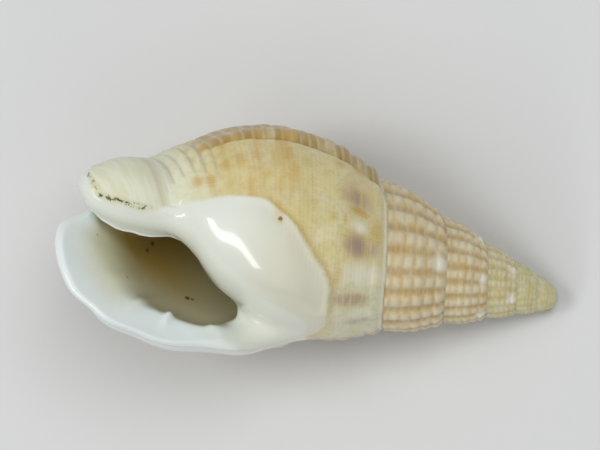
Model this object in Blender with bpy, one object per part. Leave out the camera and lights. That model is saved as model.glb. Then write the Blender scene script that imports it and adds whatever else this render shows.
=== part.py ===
"""Netted dog whelk shell, modelled as one closed faceted solid.

The shell is first laid out in shell coordinates. The coiling axis is the Z axis, with the pole
of the spiral at zero, the apex near it and the siphonal canal farthest from it. The aperture
faces -Y and the outer lip is on the +X side. Lengths there are millimetres at full growth, and a
turn is counted back from the outer lip. The finished mesh is laid on its back, as the shell
rests, and is written in metres with +Z up.
"""
import math

import bmesh
import bpy
import numpy as np

# Driving dimensions, in millimetres
UNIT = 0.001
GROWTH = 1.43            # how much every size grows in one turn
APEX_FROM_POLE = 1.70    # the worn tip lies this far from the pole of the spiral
SUTURE_AT_LIP = 16.85    # distance from the pole to the suture at the outer lip
CANAL_END = 31.45        # distance from the pole to the end of the columella
LIP_AZIMUTH = math.radians(-20.0)
TURNS = 5.3
WALL = 0.42              # wall thickness of the last whorl between its ribs
TUBE_TURNS = 1.2         # how far the hollow is carried back from the aperture
CALLUS = 0.40            # thickness of the white shield over the front of the last whorl

# Sculpture, in millimetres at full growth
RIBS_PER_TURN = 21
BASE_CORDS = 6
RIB_HEIGHT = 0.36
CORD_HEIGHT = 0.24
CREST_ALLOWANCE = 0.33   # the outline below runs over the crests of the sculpture

# Mesh density
COLUMNS = 3 * RIBS_PER_TURN
WHORL_ROWS = 8
BASE_ROWS = 3 * BASE_CORDS
CANAL_ROWS = 5
TUBE_COLUMNS = 18
TUBE_SIDE = 10

# Outline of a whorl at full growth: distance from the pole and radius
WHORL_OUTLINE = (
    (16.85, 5.88), (17.30, 6.42), (18.30, 6.88), (19.30, 7.36), (20.40, 7.80), (21.60, 8.07),
    (22.80, 8.24), (24.10, 8.40), (25.20, 8.33), (26.40, 7.97), (27.50, 7.52), (28.80, 6.80),
    (30.10, 5.97), (31.40, 5.20), (32.70, 4.05), (33.30, 3.37), (34.50, 2.10), (36.00, 1.20),
    (46.00, 0.60),
)

# The lip past its widest part: distance from the pole, X and Y, down to the canal notch
LIP_END = (
    (30.55, 5.75, -1.95), (31.30, 4.75, -1.60), (31.80, 3.70, -1.20), (32.00, 2.75, -0.80),
    (31.85, 1.95, -0.30), (31.15, 1.40, 0.35), (30.45, 0.95, 0.80), (30.05, 0.50, 1.05),
    (30.15, 0.05, 1.05), (30.65, -0.30, 0.70), (31.45, -0.50, 0.20),
)

# Opening of the hollow at the aperture: distance from the pole, X and Y
RIM_OUTER = (
    (20.50, 5.10, -1.30), (21.20, 5.50, -1.75), (22.00, 5.90, -2.00), (24.20, 5.80, -2.10),
    (26.00, 5.30, -1.90), (27.30, 4.35, -1.20), (28.40, 3.25, -0.20), (29.20, 2.05, 0.65),
    (29.50, 1.10, 1.15),
)
RIM_TOP = 20.50          # the hollow opens between these distances from the pole
RIM_BOTTOM = 30.30

# Lip rings: share of the way to the rim of the hollow and push towards the front
LIP_STEPS = ((0.10, 0.50), (0.35, 0.50), (0.70, 0.25), (1.00, 0.00))

# Canal notch as seen from the front: its corner (distance from the pole and X) and the slopes
# of its two sides
NOTCH = (29.93, 0.61, 1.34, 1.24)
NOTCH_LEAN = math.radians(5.0)

# How the shell lies on its back, and how deep the spot that it rests on is worn
REST_ROLL = math.radians(-1.6)
REST_TILT = math.radians(19.9)
REST_WEAR = 0.11


def clear_scene():
    """Remove every object that the file starts with."""
    for old in list(bpy.data.objects):
        bpy.data.objects.remove(old, do_unlink=True)


def smooth_step(low, high, value):
    """Rise smoothly from 0 at low to 1 at high."""
    share = np.clip((value - low) / (high - low), 0.0, 1.0)
    return share * share * (3.0 - 2.0 * share)


def smooth_larger(first, second, blend):
    """Larger of two values with the corner between them rounded off."""
    return 0.5 * (first + second + np.sqrt((first - second) ** 2 + blend ** 2))


def spline(points, count_or_shares):
    """Sample a smooth curve through points at equal shares of its length."""
    points = np.asarray(points, dtype=float)
    steps = np.linalg.norm(np.diff(points, axis=0), axis=1)
    knots = np.concatenate(([0.0], np.cumsum(steps)))
    slopes = np.gradient(points, knots, axis=0)
    if np.isscalar(count_or_shares):
        shares = np.linspace(0.0, 1.0, count_or_shares)
    else:
        shares = np.asarray(count_or_shares)
    place = shares * knots[-1]
    index = np.clip(np.searchsorted(knots, place, side="right") - 1, 0, len(knots) - 2)
    span = (knots[index + 1] - knots[index])[:, None]
    local = ((place - knots[index]) / span[:, 0])[:, None]
    start, end = points[index], points[index + 1]
    start_slope, end_slope = slopes[index] * span, slopes[index + 1] * span
    return (
        (2 * local ** 3 - 3 * local ** 2 + 1) * start
        + (local ** 3 - 2 * local ** 2 + local) * start_slope
        + (-2 * local ** 3 + 3 * local ** 2) * end
        + (local ** 3 - local ** 2) * end_slope
    )


def outline_radius(distance):
    """Radius of a full-grown whorl at a distance from the pole."""
    outline = np.asarray(WHORL_OUTLINE)
    knots, radii = outline[:, 0], outline[:, 1]
    slopes = np.gradient(radii, knots)
    place = np.clip(distance, knots[0], knots[-1])
    index = np.clip(np.searchsorted(knots, place, side="right") - 1, 0, len(knots) - 2)
    span = knots[index + 1] - knots[index]
    local = (place - knots[index]) / span
    return (
        (2 * local ** 3 - 3 * local ** 2 + 1) * radii[index]
        + (local ** 3 - 2 * local ** 2 + local) * span * slopes[index]
        + (-2 * local ** 3 + 3 * local ** 2) * radii[index + 1]
        + (local ** 3 - local ** 2) * span * slopes[index + 1]
    )


def body_radius(turn, distance):
    """Radius of the whorl wall, slimmer over the last turn and with a waist at the lip."""
    scale = GROWTH ** (-turn)
    full = distance / scale
    slimming = 0.32 * np.exp(-((full - 25.3) / 2.6) ** 2) * smooth_step(1.0, 0.6, turn)
    waist = 0.36 * np.exp(-((full - 21.6) / 2.0) ** 2) - 0.36 * np.exp(-((full - 28.5) / 1.5) ** 2)
    slimming = slimming + waist * smooth_step(0.30, 0.10, turn)
    return scale * (outline_radius(full) - slimming - CREST_ALLOWANCE)


def end_rounding(distance, start, end, power):
    """Share of the radius that is left where the shell rounds off at its canal end."""
    share = np.clip((distance - start) / (end - start), 0.0, 1.0)
    return (1.0 - share ** power) ** (1.0 / power)


def canal_radius(turn, distance):
    """Radius of the ridge that the old canal ends leave around the columella."""
    swell = 2.95 - 1.65 * smooth_step(0.62, 1.0, turn) - 0.75 * smooth_step(0.45, 0.1, turn)
    swell = np.where(turn > 1.0, 1.3 * GROWTH ** (1.0 - turn), swell)
    reach = 3.95 - 0.70 * smooth_step(0.78, 1.0, turn)
    share = np.clip((distance - 27.4) / reach, -0.75, 1.0)
    return swell * np.sqrt(np.clip(1.0 - share * share, 0.0, 1.0))


def wall_radius(turn, distance):
    """Outside radius of the bare shell, without sculpture."""
    body = body_radius(turn, distance) * end_rounding(distance, 27.4, 31.95, 4.0)
    ridge = canal_radius(turn, distance)
    radius = smooth_larger(body, ridge, 0.35)
    return radius * end_rounding(distance, 30.2, CANAL_END + 1e-6, 2.6)


def to_space(turn, distance, radius):
    """Points in shell coordinates."""
    azimuth = LIP_AZIMUTH + 2.0 * math.pi * turn
    return np.stack(
        (radius * np.cos(azimuth), radius * np.sin(azimuth), distance + 0.0 * radius), axis=-1
    )


def row_distances(turn):
    """Distances from the pole of the rows between suture, neck and canal end."""
    suture = SUTURE_AT_LIP * GROWTH ** (-turn)[:, None]
    whorl = np.linspace(0.0, 1.0, WHORL_ROWS + 1) ** 1.35
    rows = suture * (1.0 + (GROWTH - 1.0) * whorl[None, :])
    neck = 33.2 * GROWTH ** (-turn)[:, None]
    neck = 0.5 * (neck + 30.6 - np.sqrt((neck - 30.6) ** 2 + 1.0))
    base = np.linspace(0.0, 1.0, BASE_ROWS + 1)[1:]
    lower = suture * GROWTH
    base_rows = lower + (neck - lower) * base[None, :]
    canal = np.sin(np.linspace(0.0, 0.5 * math.pi, CANAL_ROWS + 1))[1:]
    canal_rows = neck + (CANAL_END - neck) * canal[None, :]
    return np.concatenate((rows, base_rows, canal_rows), axis=1)


def sculpture(turn, row):
    """Height of the ribs along the shell and of the cords around its base."""
    scale = GROWTH ** (-turn)
    rib = 0.5 + 0.5 * np.cos(2.0 * math.pi * RIBS_PER_TURN * turn)
    cord = 0.5 - 0.5 * np.cos(2.0 * math.pi * (row - WHORL_ROWS) / 3.0)
    worn = smooth_step(5.3, 4.2, turn)
    on_base = smooth_step(WHORL_ROWS, WHORL_ROWS + 6, row)
    on_canal = smooth_step(WHORL_ROWS + BASE_ROWS - 1, WHORL_ROWS + BASE_ROWS + 1, row)
    body_front = smooth_step(1.15, 0.95, turn)
    rib_height = RIB_HEIGHT * (1.0 - 0.3 * body_front) * (1.0 - 0.8 * on_base)
    return scale * (rib_height * rib + CORD_HEIGHT * cord * on_base) * worn * (1.0 - on_canal)


def callus(turn, distance):
    """Share of the white callus over the front of the last whorl, from 0 to 1."""
    reach = 0.17 + 0.10 * np.exp(-((distance - 20.3) / 4.2) ** 2)
    near_lip = smooth_step(1.0 - reach - 0.02, 1.0 - reach + 0.02, turn)
    past_lip = smooth_step(1.10, 1.05, turn)
    top = smooth_step(14.7, 15.2, distance)
    return near_lip * past_lip * top


def pad_offset(turn, distance):
    """Push of the pad that joins the callus to the outer lip at the back of the aperture."""
    late = turn < 0.5
    place = np.where(late, turn + 1.0, turn)
    along = np.where(late, smooth_step(18.6, 16.9, distance), smooth_step(21.6, 18.4, distance))
    along = along * smooth_step(15.2, 17.2, distance)
    rise = np.where(late, 0.65 * smooth_step(1.09, 1.0, place), smooth_step(0.91, 1.06, place))
    rise = rise * smooth_step(1.30, 1.12, place)
    return (rise * along)[..., None] * np.array((0.16, -0.95, 0.0))


def outside_points(turn, rows_used):
    """Points of the outside surface for a column of rows at each turn."""
    distance = row_distances(turn)[:, rows_used]
    turns = np.repeat(turn[:, None], distance.shape[1], axis=1)
    row = rows_used[None, :] + np.zeros((len(turn), 1))
    cover = callus(turns, distance) * smooth_step(31.3, 30.4, distance)
    relief = sculpture(turns, row) * (1.0 - cover)
    lip_band = smooth_step(0.07, 0.02, turns)
    behind_lip = smooth_step(0.22, 0.05, turns)
    relief = relief * (1.0 - 0.4 * behind_lip)
    relief = relief * (1.0 - lip_band) + 0.48 * lip_band * smooth_step(31.0, 29.0, distance)
    radius = wall_radius(turns, distance) + relief + CALLUS * cover
    return to_space(turns, distance, radius) + pad_offset(turns, distance)


def past_notch(points):
    """How far points stand out past the canal notch along the axis."""
    corner, sideways, lip_slope, tip_slope = NOTCH
    along = points[..., 2] * math.cos(NOTCH_LEAN) + points[..., 1] * math.sin(NOTCH_LEAN)
    offset = points[..., 0] - sideways
    limit = corner + np.maximum(lip_slope * offset, -tip_slope * offset)
    return smooth_larger(along - limit, np.zeros_like(limit), 0.12)


def build_shell_mesh():
    """Vertices and faces of the shell in shell coordinates."""
    last_row = WHORL_ROWS + BASE_ROWS + CANAL_ROWS
    spire_columns = int(TURNS * COLUMNS)
    faces = []

    whorl_rows = np.arange(WHORL_ROWS + 1)
    base_rows = np.arange(WHORL_ROWS + 1, last_row)
    spire_turns = np.arange(spire_columns + 1) / COLUMNS
    base_turns = np.arange(COLUMNS + 1) / COLUMNS
    whorl = outside_points(spire_turns, whorl_rows)
    base = outside_points(base_turns, base_rows)

    # A row at a lower suture is the upper suture of the next whorl
    index = np.full((spire_columns + 1, last_row + 1), -1, dtype=int)
    points = []
    for column in range(spire_columns + 1):
        for row in range(WHORL_ROWS + 1):
            if row == WHORL_ROWS and column >= COLUMNS:
                index[column, row] = index[column - COLUMNS, 0]
                continue
            index[column, row] = len(points)
            points.append(whorl[column, row])
    for column in range(COLUMNS + 1):
        for row in range(WHORL_ROWS + 1, last_row):
            index[column, row] = len(points)
            points.append(base[column, row - WHORL_ROWS - 1])
    tip = np.array((-0.50, 0.20, CANAL_END))
    index[: COLUMNS + 1, last_row] = len(points)
    points.append(tip)
    apex = len(points)
    points.append(np.array((0.0, 0.0, APEX_FROM_POLE)))
    points = np.array(points)

    # The lip edge leaves the regular wall near the canal
    lip_rows = np.arange(WHORL_ROWS + BASE_ROWS - 4, last_row + 1)
    first = points[index[0, lip_rows[0]]]
    path = [(first[2], first[0], first[1])] + list(LIP_END)
    lip_path = spline(path, len(lip_rows))[:, (1, 2, 0)]
    shift = lip_path - points[index[0, lip_rows]]
    for column in range(COLUMNS // 3):
        fade = 1.0 - smooth_step(0.0, 0.26, column / COLUMNS)
        for place, row in enumerate(lip_rows[:-1]):
            points[index[column, row]] += shift[place] * fade

    # The wall behind the canal notch is drawn back to it
    for column in range(1, int(0.52 * COLUMNS)):
        share = smooth_step(0.0, 0.03, column / COLUMNS) * smooth_step(0.52, 0.44, column / COLUMNS)
        behind = index[column, lip_rows[:-1]]
        points[behind, 2] -= past_notch(points[behind]) * share

    # Outside faces
    for column in range(spire_columns):
        for row in range(WHORL_ROWS):
            quad = (index[column, row], index[column, row + 1],
                    index[column + 1, row + 1], index[column + 1, row])
            faces.append(quad)
    for column in range(COLUMNS):
        for row in range(WHORL_ROWS, last_row - 1):
            quad = (index[column, row], index[column, row + 1],
                    index[column + 1, row + 1], index[column + 1, row])
            faces.append(quad)
        faces.append((index[column, last_row - 1], index[0, last_row], index[column + 1, last_row - 1]))

    # Worn apex
    rim = list(index[spire_columns - COLUMNS: spire_columns + 1, 0])
    rim += list(index[spire_columns, 1:WHORL_ROWS])
    rim_points = points[rim]
    inner = []
    for number, vertex in enumerate(rim):
        inner.append(len(points) + number)
    halfway = rim_points * np.array((0.62, 0.62, 1.0))
    halfway[:, 2] = APEX_FROM_POLE + 0.22 * (rim_points[:, 2] - APEX_FROM_POLE)
    points = np.concatenate((points, halfway))
    for number in range(len(rim)):
        following = (number + 1) % len(rim)
        faces.append((rim[number], rim[following], inner[following], inner[number]))
        faces.append((inner[number], inner[following], apex))

    # Lip and hollow: loops of vertices from the outside edge to the closed end of the tube
    outer_edge = [index[0, row] for row in range(0, last_row + 1)]
    inner_edge = [index[COLUMNS, row] for row in range(last_row - 1, WHORL_ROWS, -1)]
    loop = outer_edge + inner_edge
    outer_share = length_shares(points[outer_edge])
    inner_line = [index[COLUMNS, row] for row in range(last_row, WHORL_ROWS - 1, -1)]
    inner_share = length_shares(points[inner_line])[1:-1]
    edge = points[loop]
    for weight, forward in LIP_STEPS:
        ring = lip_ring(edge, outer_share, inner_share, weight, forward)
        new_loop = list(range(len(points), len(points) + len(ring)))
        points = np.concatenate((points, ring))
        faces += band(loop, new_loop)
        loop = new_loop

    shares = np.concatenate((outer_share, 1.0 + inner_share))
    tube_shares = np.arange(2 * TUBE_SIDE) / TUBE_SIDE
    depths = np.concatenate(([0.06], np.arange(2, int(TUBE_TURNS * TUBE_COLUMNS) + 1) / TUBE_COLUMNS))
    for depth in depths:
        ring = tube_ring(depth)
        new_loop = list(range(len(points), len(points) + len(ring)))
        points = np.concatenate((points, ring))
        if len(loop) == len(new_loop):
            faces += band(loop, new_loop)
        else:
            faces += zip_loops(loop, shares, new_loop, tube_shares)
        loop = new_loop
    middle = points[loop].mean(axis=0)
    points = np.concatenate((points, middle[None, :]))
    for number in range(len(loop)):
        following = (number + 1) % len(loop)
        faces.append((loop[number], loop[following], len(points) - 1))
    points = points * np.array((1.0, 1.0, -1.0))
    return points, faces


def length_shares(line):
    """Share of a line's length at each of its points."""
    steps = np.linalg.norm(np.diff(line, axis=0), axis=1)
    total = np.concatenate(([0.0], np.cumsum(steps)))
    return total / total[-1]


def lip_ring(edge, outer_share, inner_share, weight, forward):
    """One loop between the outside edge of the aperture and the rim of its hollow."""
    outer = spline(RIM_OUTER, outer_share)[:, (1, 2, 0)]
    outer_count = len(outer_share)
    ring = edge.copy()
    ring[:outer_count] += weight * (outer - edge[:outer_count])
    ring[:outer_count, 1] -= forward * np.sin(math.pi * outer_share) ** 0.5
    start = edge[outer_count:, 2]
    share = (start - SUTURE_AT_LIP) / (CANAL_END - SUTURE_AT_LIP)
    distance = start + weight * (RIM_TOP + (RIM_BOTTOM - RIM_TOP) * share - start)
    turn = np.full_like(distance, 1.0)
    turn = turn + 0.04 * weight
    thick = CALLUS * (1.0 - 0.5 * weight) * smooth_step(31.45, 29.6, distance)
    inner = to_space(turn, distance, wall_radius(np.ones_like(turn), distance) + thick)
    inner = inner + pad_offset(turn, distance)
    near_top = weight * smooth_step(0.09, 0.0, share)[:, None]
    near_end = smooth_step(0.85, 1.0, share)[:, None]
    inner = inner + near_top * (ring[0] - inner)
    inner = inner + near_end * (ring[outer_count - 1] - inner)
    ring[outer_count:] = inner
    return ring


def band(loop, following):
    """Quads between two loops of the same count."""
    count = len(loop)
    return [
        (loop[k], loop[(k + 1) % count], following[(k + 1) % count], following[k])
        for k in range(count)
    ]


def zip_loops(loop, shares, other, other_shares):
    """Triangles between two loops of different counts, matched by their shares."""
    first = list(zip(list(shares) + [2.0], list(loop) + [loop[0]]))
    second = list(zip(list(other_shares) + [2.0], list(other) + [other[0]]))
    faces = []
    a = b = 0
    while a < len(first) - 1 or b < len(second) - 1:
        step_first = b == len(second) - 1
        if not step_first and a < len(first) - 1:
            step_first = first[a + 1][0] <= second[b + 1][0]
        if step_first:
            faces.append((first[a][1], first[a + 1][1], second[b][1]))
            a += 1
        else:
            faces.append((first[a][1], second[b + 1][1], second[b][1]))
            b += 1
    return faces


def tube_ring(depth):
    """Loop of the hollow at a depth in turns behind the lip."""
    scale = GROWTH ** (-depth)
    top = (SUTURE_AT_LIP + 1.5) * scale
    bottom = 29.0 * scale
    share = 0.5 - 0.5 * np.cos(np.linspace(0.0, math.pi, TUBE_SIDE + 1))
    distance = top + (bottom - top) * share
    turn = np.full_like(distance, depth)
    outer = body_radius(turn, distance) - WALL * scale
    inner = body_radius(turn + 1.0, distance)
    inner = smooth_larger(inner, 1.25 * scale + 0.0 * inner, 0.3 * scale)
    middle = 0.5 * (outer + inner)
    half = 0.5 * np.maximum(outer - inner, 0.2 * scale)
    closing = (1.0 - np.abs(2.0 * share - 1.0) ** 5) ** 0.2
    outside = to_space(turn, distance, middle + half * closing)
    inside = to_space(turn, distance, middle - half * closing)
    return np.concatenate((outside[:-1], inside[:0:-1]))


def shell_material():
    """Glossy cream finish."""
    material = bpy.data.materials.new("shell_cream")
    material.use_nodes = True
    shader = material.node_tree.nodes["Principled BSDF"]
    shader.inputs["Base Color"].default_value = (0.62, 0.52, 0.36, 1.0)
    shader.inputs["Roughness"].default_value = 0.35
    shader.inputs["Metallic"].default_value = 0.0
    return material


def lay_down(points):
    """Turn points from shell coordinates onto the back of the shell, apex towards +X."""
    down = np.array((
        math.sin(REST_ROLL) * math.cos(REST_TILT),
        math.cos(REST_ROLL) * math.cos(REST_TILT),
        math.sin(REST_TILT),
    ))
    to_apex = np.array((0.0, 0.0, 1.0)) - down * down[2]
    to_apex /= np.linalg.norm(to_apex)
    side = np.cross(-down, to_apex)
    turned = points @ np.stack((to_apex, side, -down), axis=1)
    turned[:, 2] -= turned[:, 2].min() + REST_WEAR
    turned[:, :2] -= 0.5 * (turned[:, :2].min(axis=0) + turned[:, :2].max(axis=0))
    return turned


def cut_resting_spot(work):
    """Cut the crests that the shell rests on flat at the floor."""
    everything = work.verts[:] + work.edges[:] + work.faces[:]
    bmesh.ops.bisect_plane(
        work, geom=everything, dist=1e-7, plane_co=(0.0, 0.0, 0.0), plane_no=(0.0, 0.0, -1.0),
        clear_outer=True,
    )
    open_edges = [edge for edge in work.edges if edge.is_boundary]
    bmesh.ops.holes_fill(work, edges=open_edges, sides=0)


def make_shell():
    """The shell as one object, lying on its back."""
    points, faces = build_shell_mesh()
    points = lay_down(points) * UNIT
    mesh = bpy.data.meshes.new("shell")
    mesh.from_pydata(points.tolist(), [], [tuple(int(i) for i in face) for face in faces])
    work = bmesh.new()
    work.from_mesh(mesh)
    cut_resting_spot(work)
    bmesh.ops.triangulate(work, faces=work.faces)
    bmesh.ops.recalc_face_normals(work, faces=work.faces)
    work.to_mesh(mesh)
    work.free()
    mesh.shade_smooth()
    shell = bpy.data.objects.new("shell", mesh)
    shell.data.materials.append(shell_material())
    bpy.context.scene.collection.objects.link(shell)
    return shell


def main():
    """Build the shell."""
    clear_scene()
    make_shell()


main()
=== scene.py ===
"""Netted dog whelk shell, resting on its back with its aperture up, dressed for a close look.

The shell grew as one piece, so it is one closed surface. Its walls are a spiral that grows by the
same factor in every turn. Places on it are given by the turn, counted back from the outer lip, by
the distance from the pole of the spiral along the coiling axis, and by the height on a whorl, which
is 0 at the suture above and 1 at the suture below. Lengths are millimetres at full growth until the
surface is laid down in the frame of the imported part.
"""
import logging
import math
from dataclasses import dataclass, field
from enum import Enum
from typing import Any, ClassVar, Sequence, Union

import bpy
import numpy as np
from mathutils import Matrix, Vector


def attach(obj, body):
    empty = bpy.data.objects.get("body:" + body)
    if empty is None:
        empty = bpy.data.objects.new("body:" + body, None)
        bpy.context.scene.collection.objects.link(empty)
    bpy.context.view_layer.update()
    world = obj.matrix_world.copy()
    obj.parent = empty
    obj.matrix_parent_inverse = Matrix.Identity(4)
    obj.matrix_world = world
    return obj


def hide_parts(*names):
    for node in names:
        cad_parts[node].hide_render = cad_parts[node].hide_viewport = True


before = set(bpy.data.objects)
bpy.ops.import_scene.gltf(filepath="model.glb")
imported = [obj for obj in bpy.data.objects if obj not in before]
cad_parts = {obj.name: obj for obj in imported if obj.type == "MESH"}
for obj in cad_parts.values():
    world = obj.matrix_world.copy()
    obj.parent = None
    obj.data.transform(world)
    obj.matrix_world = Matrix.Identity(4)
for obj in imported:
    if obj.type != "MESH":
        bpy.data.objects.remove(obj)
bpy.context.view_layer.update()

LOG = logging.getLogger("whelk")
MM = 0.001
TINY = 1e-12
TURN = 2.0 * math.pi
Array = np.ndarray
Bell = tuple[float, float, float]      # middle, width and height
Line = tuple[tuple[float, float], ...]
Path = tuple[tuple[float, float, float], ...]


def smooth_step(low: float, high: float, value: Any) -> Any:
    """Rise smoothly from 0 at low to 1 at high, also downwards where low is the larger.

    Args:
        low: Value at which the rise starts.
        high: Value at which the rise ends.
        value: Number or array to judge.

    Returns:
        Shares from 0 to 1, of the cubic 3 t^2 - 2 t^3.
    """
    share = np.clip((np.asarray(value, dtype=float) - low) / (high - low), 0.0, 1.0)
    return share * share * (3.0 - 2.0 * share)


def smooth_larger(first: Array, second: Array, blend: float) -> Array:
    """Larger of two values, the corner between them rounded over the given width.

    Args:
        first: One set of values.
        second: The other set.
        blend: Width of the rounding.

    Returns:
        Half the sum plus half the root of the squared difference and the squared width.
    """
    return 0.5 * (first + second + np.sqrt((first - second) ** 2 + blend ** 2))


def bell(value: Array, middle: float, width: float, height: float = 1.0) -> Array:
    """Bell of a height: e to the minus square of the distance from its middle in widths."""
    return height * np.exp(-((value - middle) / width) ** 2)


def length_shares(line: Array) -> Array:
    """Share of a line's length at each of its points.

    Args:
        line: Points in order, one a row.

    Returns:
        One share a point, from 0 to 1.
    """
    steps = np.linalg.norm(np.diff(line, axis=0), axis=1)
    total = np.concatenate(([0.0], np.cumsum(steps)))
    return total / total[-1]


def cubic_through(knots: Array, values: Array, place: Array) -> Array:
    """Smooth curve through given values, by cubic pieces.

    Args:
        knots: Rising places of the given values.
        values: One number or point a knot.
        place: Places at which the curve is wanted.

    Returns:
        Cubics that meet the values, with central differences as their slopes at the knots.
    """
    slopes = np.gradient(values, knots, axis=0)
    index = np.clip(np.searchsorted(knots, place, side="right") - 1, 0, len(knots) - 2)
    span, start = knots[index + 1] - knots[index], knots[index]
    local = (place - start) / span
    if values.ndim > 1:
        span, local = span[:, None], local[:, None]
    return (
        (2 * local ** 3 - 3 * local ** 2 + 1) * values[index]
        + (local ** 3 - 2 * local ** 2 + local) * span * slopes[index]
        + (3 * local ** 2 - 2 * local ** 3) * values[index + 1]
        + (local ** 3 - local ** 2) * span * slopes[index + 1]
    )


def curve_at(points: Sequence[Sequence[float]], shares: Array) -> Array:
    """Points on a smooth curve through the given ones.

    Args:
        points: Points that the curve runs through.
        shares: Shares of the curve's length, from 0 to 1.

    Returns:
        One point a share.
    """
    through = np.asarray(points, dtype=float)
    steps = np.linalg.norm(np.diff(through, axis=0), axis=1)
    knots = np.concatenate(([0.0], np.cumsum(steps)))
    return cubic_through(knots, through, np.asarray(shares) * knots[-1])


def path_distance(points: Array, path: Array) -> Array:
    """Distance in a plane from each point to an open path.

    Args:
        points: Plane points, the last axis holding the two coordinates.
        path: Corner points of the path in order.

    Returns:
        The least distance to any straight stretch of the path.
    """
    flat = points.reshape(-1, 2)
    best = np.full(len(flat), np.inf)
    for start, end in zip(path[:-1], path[1:]):
        along = end - start
        share = np.clip((flat - start) @ along / (along @ along), 0.0, 1.0)
        best = np.minimum(best, np.linalg.norm(flat - start - share[:, None] * along, axis=1))
    return best.reshape(points.shape[:-1])


def inside_outline(points: Array, outline: Array) -> Array:
    """Whether plane points lie inside a closed outline, by counting crossings of its sides.

    Args:
        points: Plane points, the last axis holding the two coordinates.
        outline: Corner points of the outline in order.

    Returns:
        One truth value a point.
    """
    x, y = points[..., 0], points[..., 1]
    odd = np.zeros(x.shape, dtype=bool)
    for start, end in zip(outline, np.roll(outline, -1, axis=0)):
        crosses = (start[1] > y) != (end[1] > y)
        rise = end[1] - start[1] if abs(end[1] - start[1]) > TINY else TINY
        odd ^= crosses & (x < start[0] + (y - start[1]) * (end[0] - start[0]) / rise)
    return odd


def cell_chance(first: Array, second: Array, seed: float) -> Array:
    """Even pseudo-chance between 0 and 1 for each pair of whole numbers, the same every time.

    Args:
        first: One coordinate of the cell.
        second: The other coordinate.
        seed: Number that tells apart one set of chances from another.

    Returns:
        The fraction of a large multiple of a sine of the two coordinates.
    """
    wave = np.sin(first * 12.9898 + second * 78.233 + seed * 37.719) * 43758.5453
    return wave - np.floor(wave)


@dataclass(frozen=True)
class Resting:
    """How the shell lies: its roll, the tilt of its axis, and where the pole of its spiral is."""

    roll: float = math.radians(-1.6)
    tilt: float = math.radians(19.9)
    pole: tuple[float, float, float] = (15.90620, 0.69087, 0.10290)

    def axes(self) -> Array:
        """Work out the directions of the shell's own axes in the frame.

        Returns:
            Unit columns: towards the apex, sideways and up, square to each other.
        """
        down = np.array((
            math.sin(self.roll) * math.cos(self.tilt),
            math.cos(self.roll) * math.cos(self.tilt),
            math.sin(self.tilt),
        ))
        apex = np.array((0.0, 0.0, 1.0)) - down * down[2]
        apex /= np.linalg.norm(apex)
        return np.stack((apex, np.cross(-down, apex), -down), axis=1)

    def lay_down(self, points: Array) -> Array:
        """Turn shell coordinates into the frame and press what lies under the floor flat onto it.

        Args:
            points: Points whose last coordinate is the distance from the pole.

        Returns:
            Points in metres, with none below the floor.
        """
        laid = (points * np.array((1.0, 1.0, -1.0))) @ self.axes() + np.array(self.pole)
        laid[:, 2] = np.maximum(laid[:, 2], 0.0)
        return laid * MM


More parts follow.
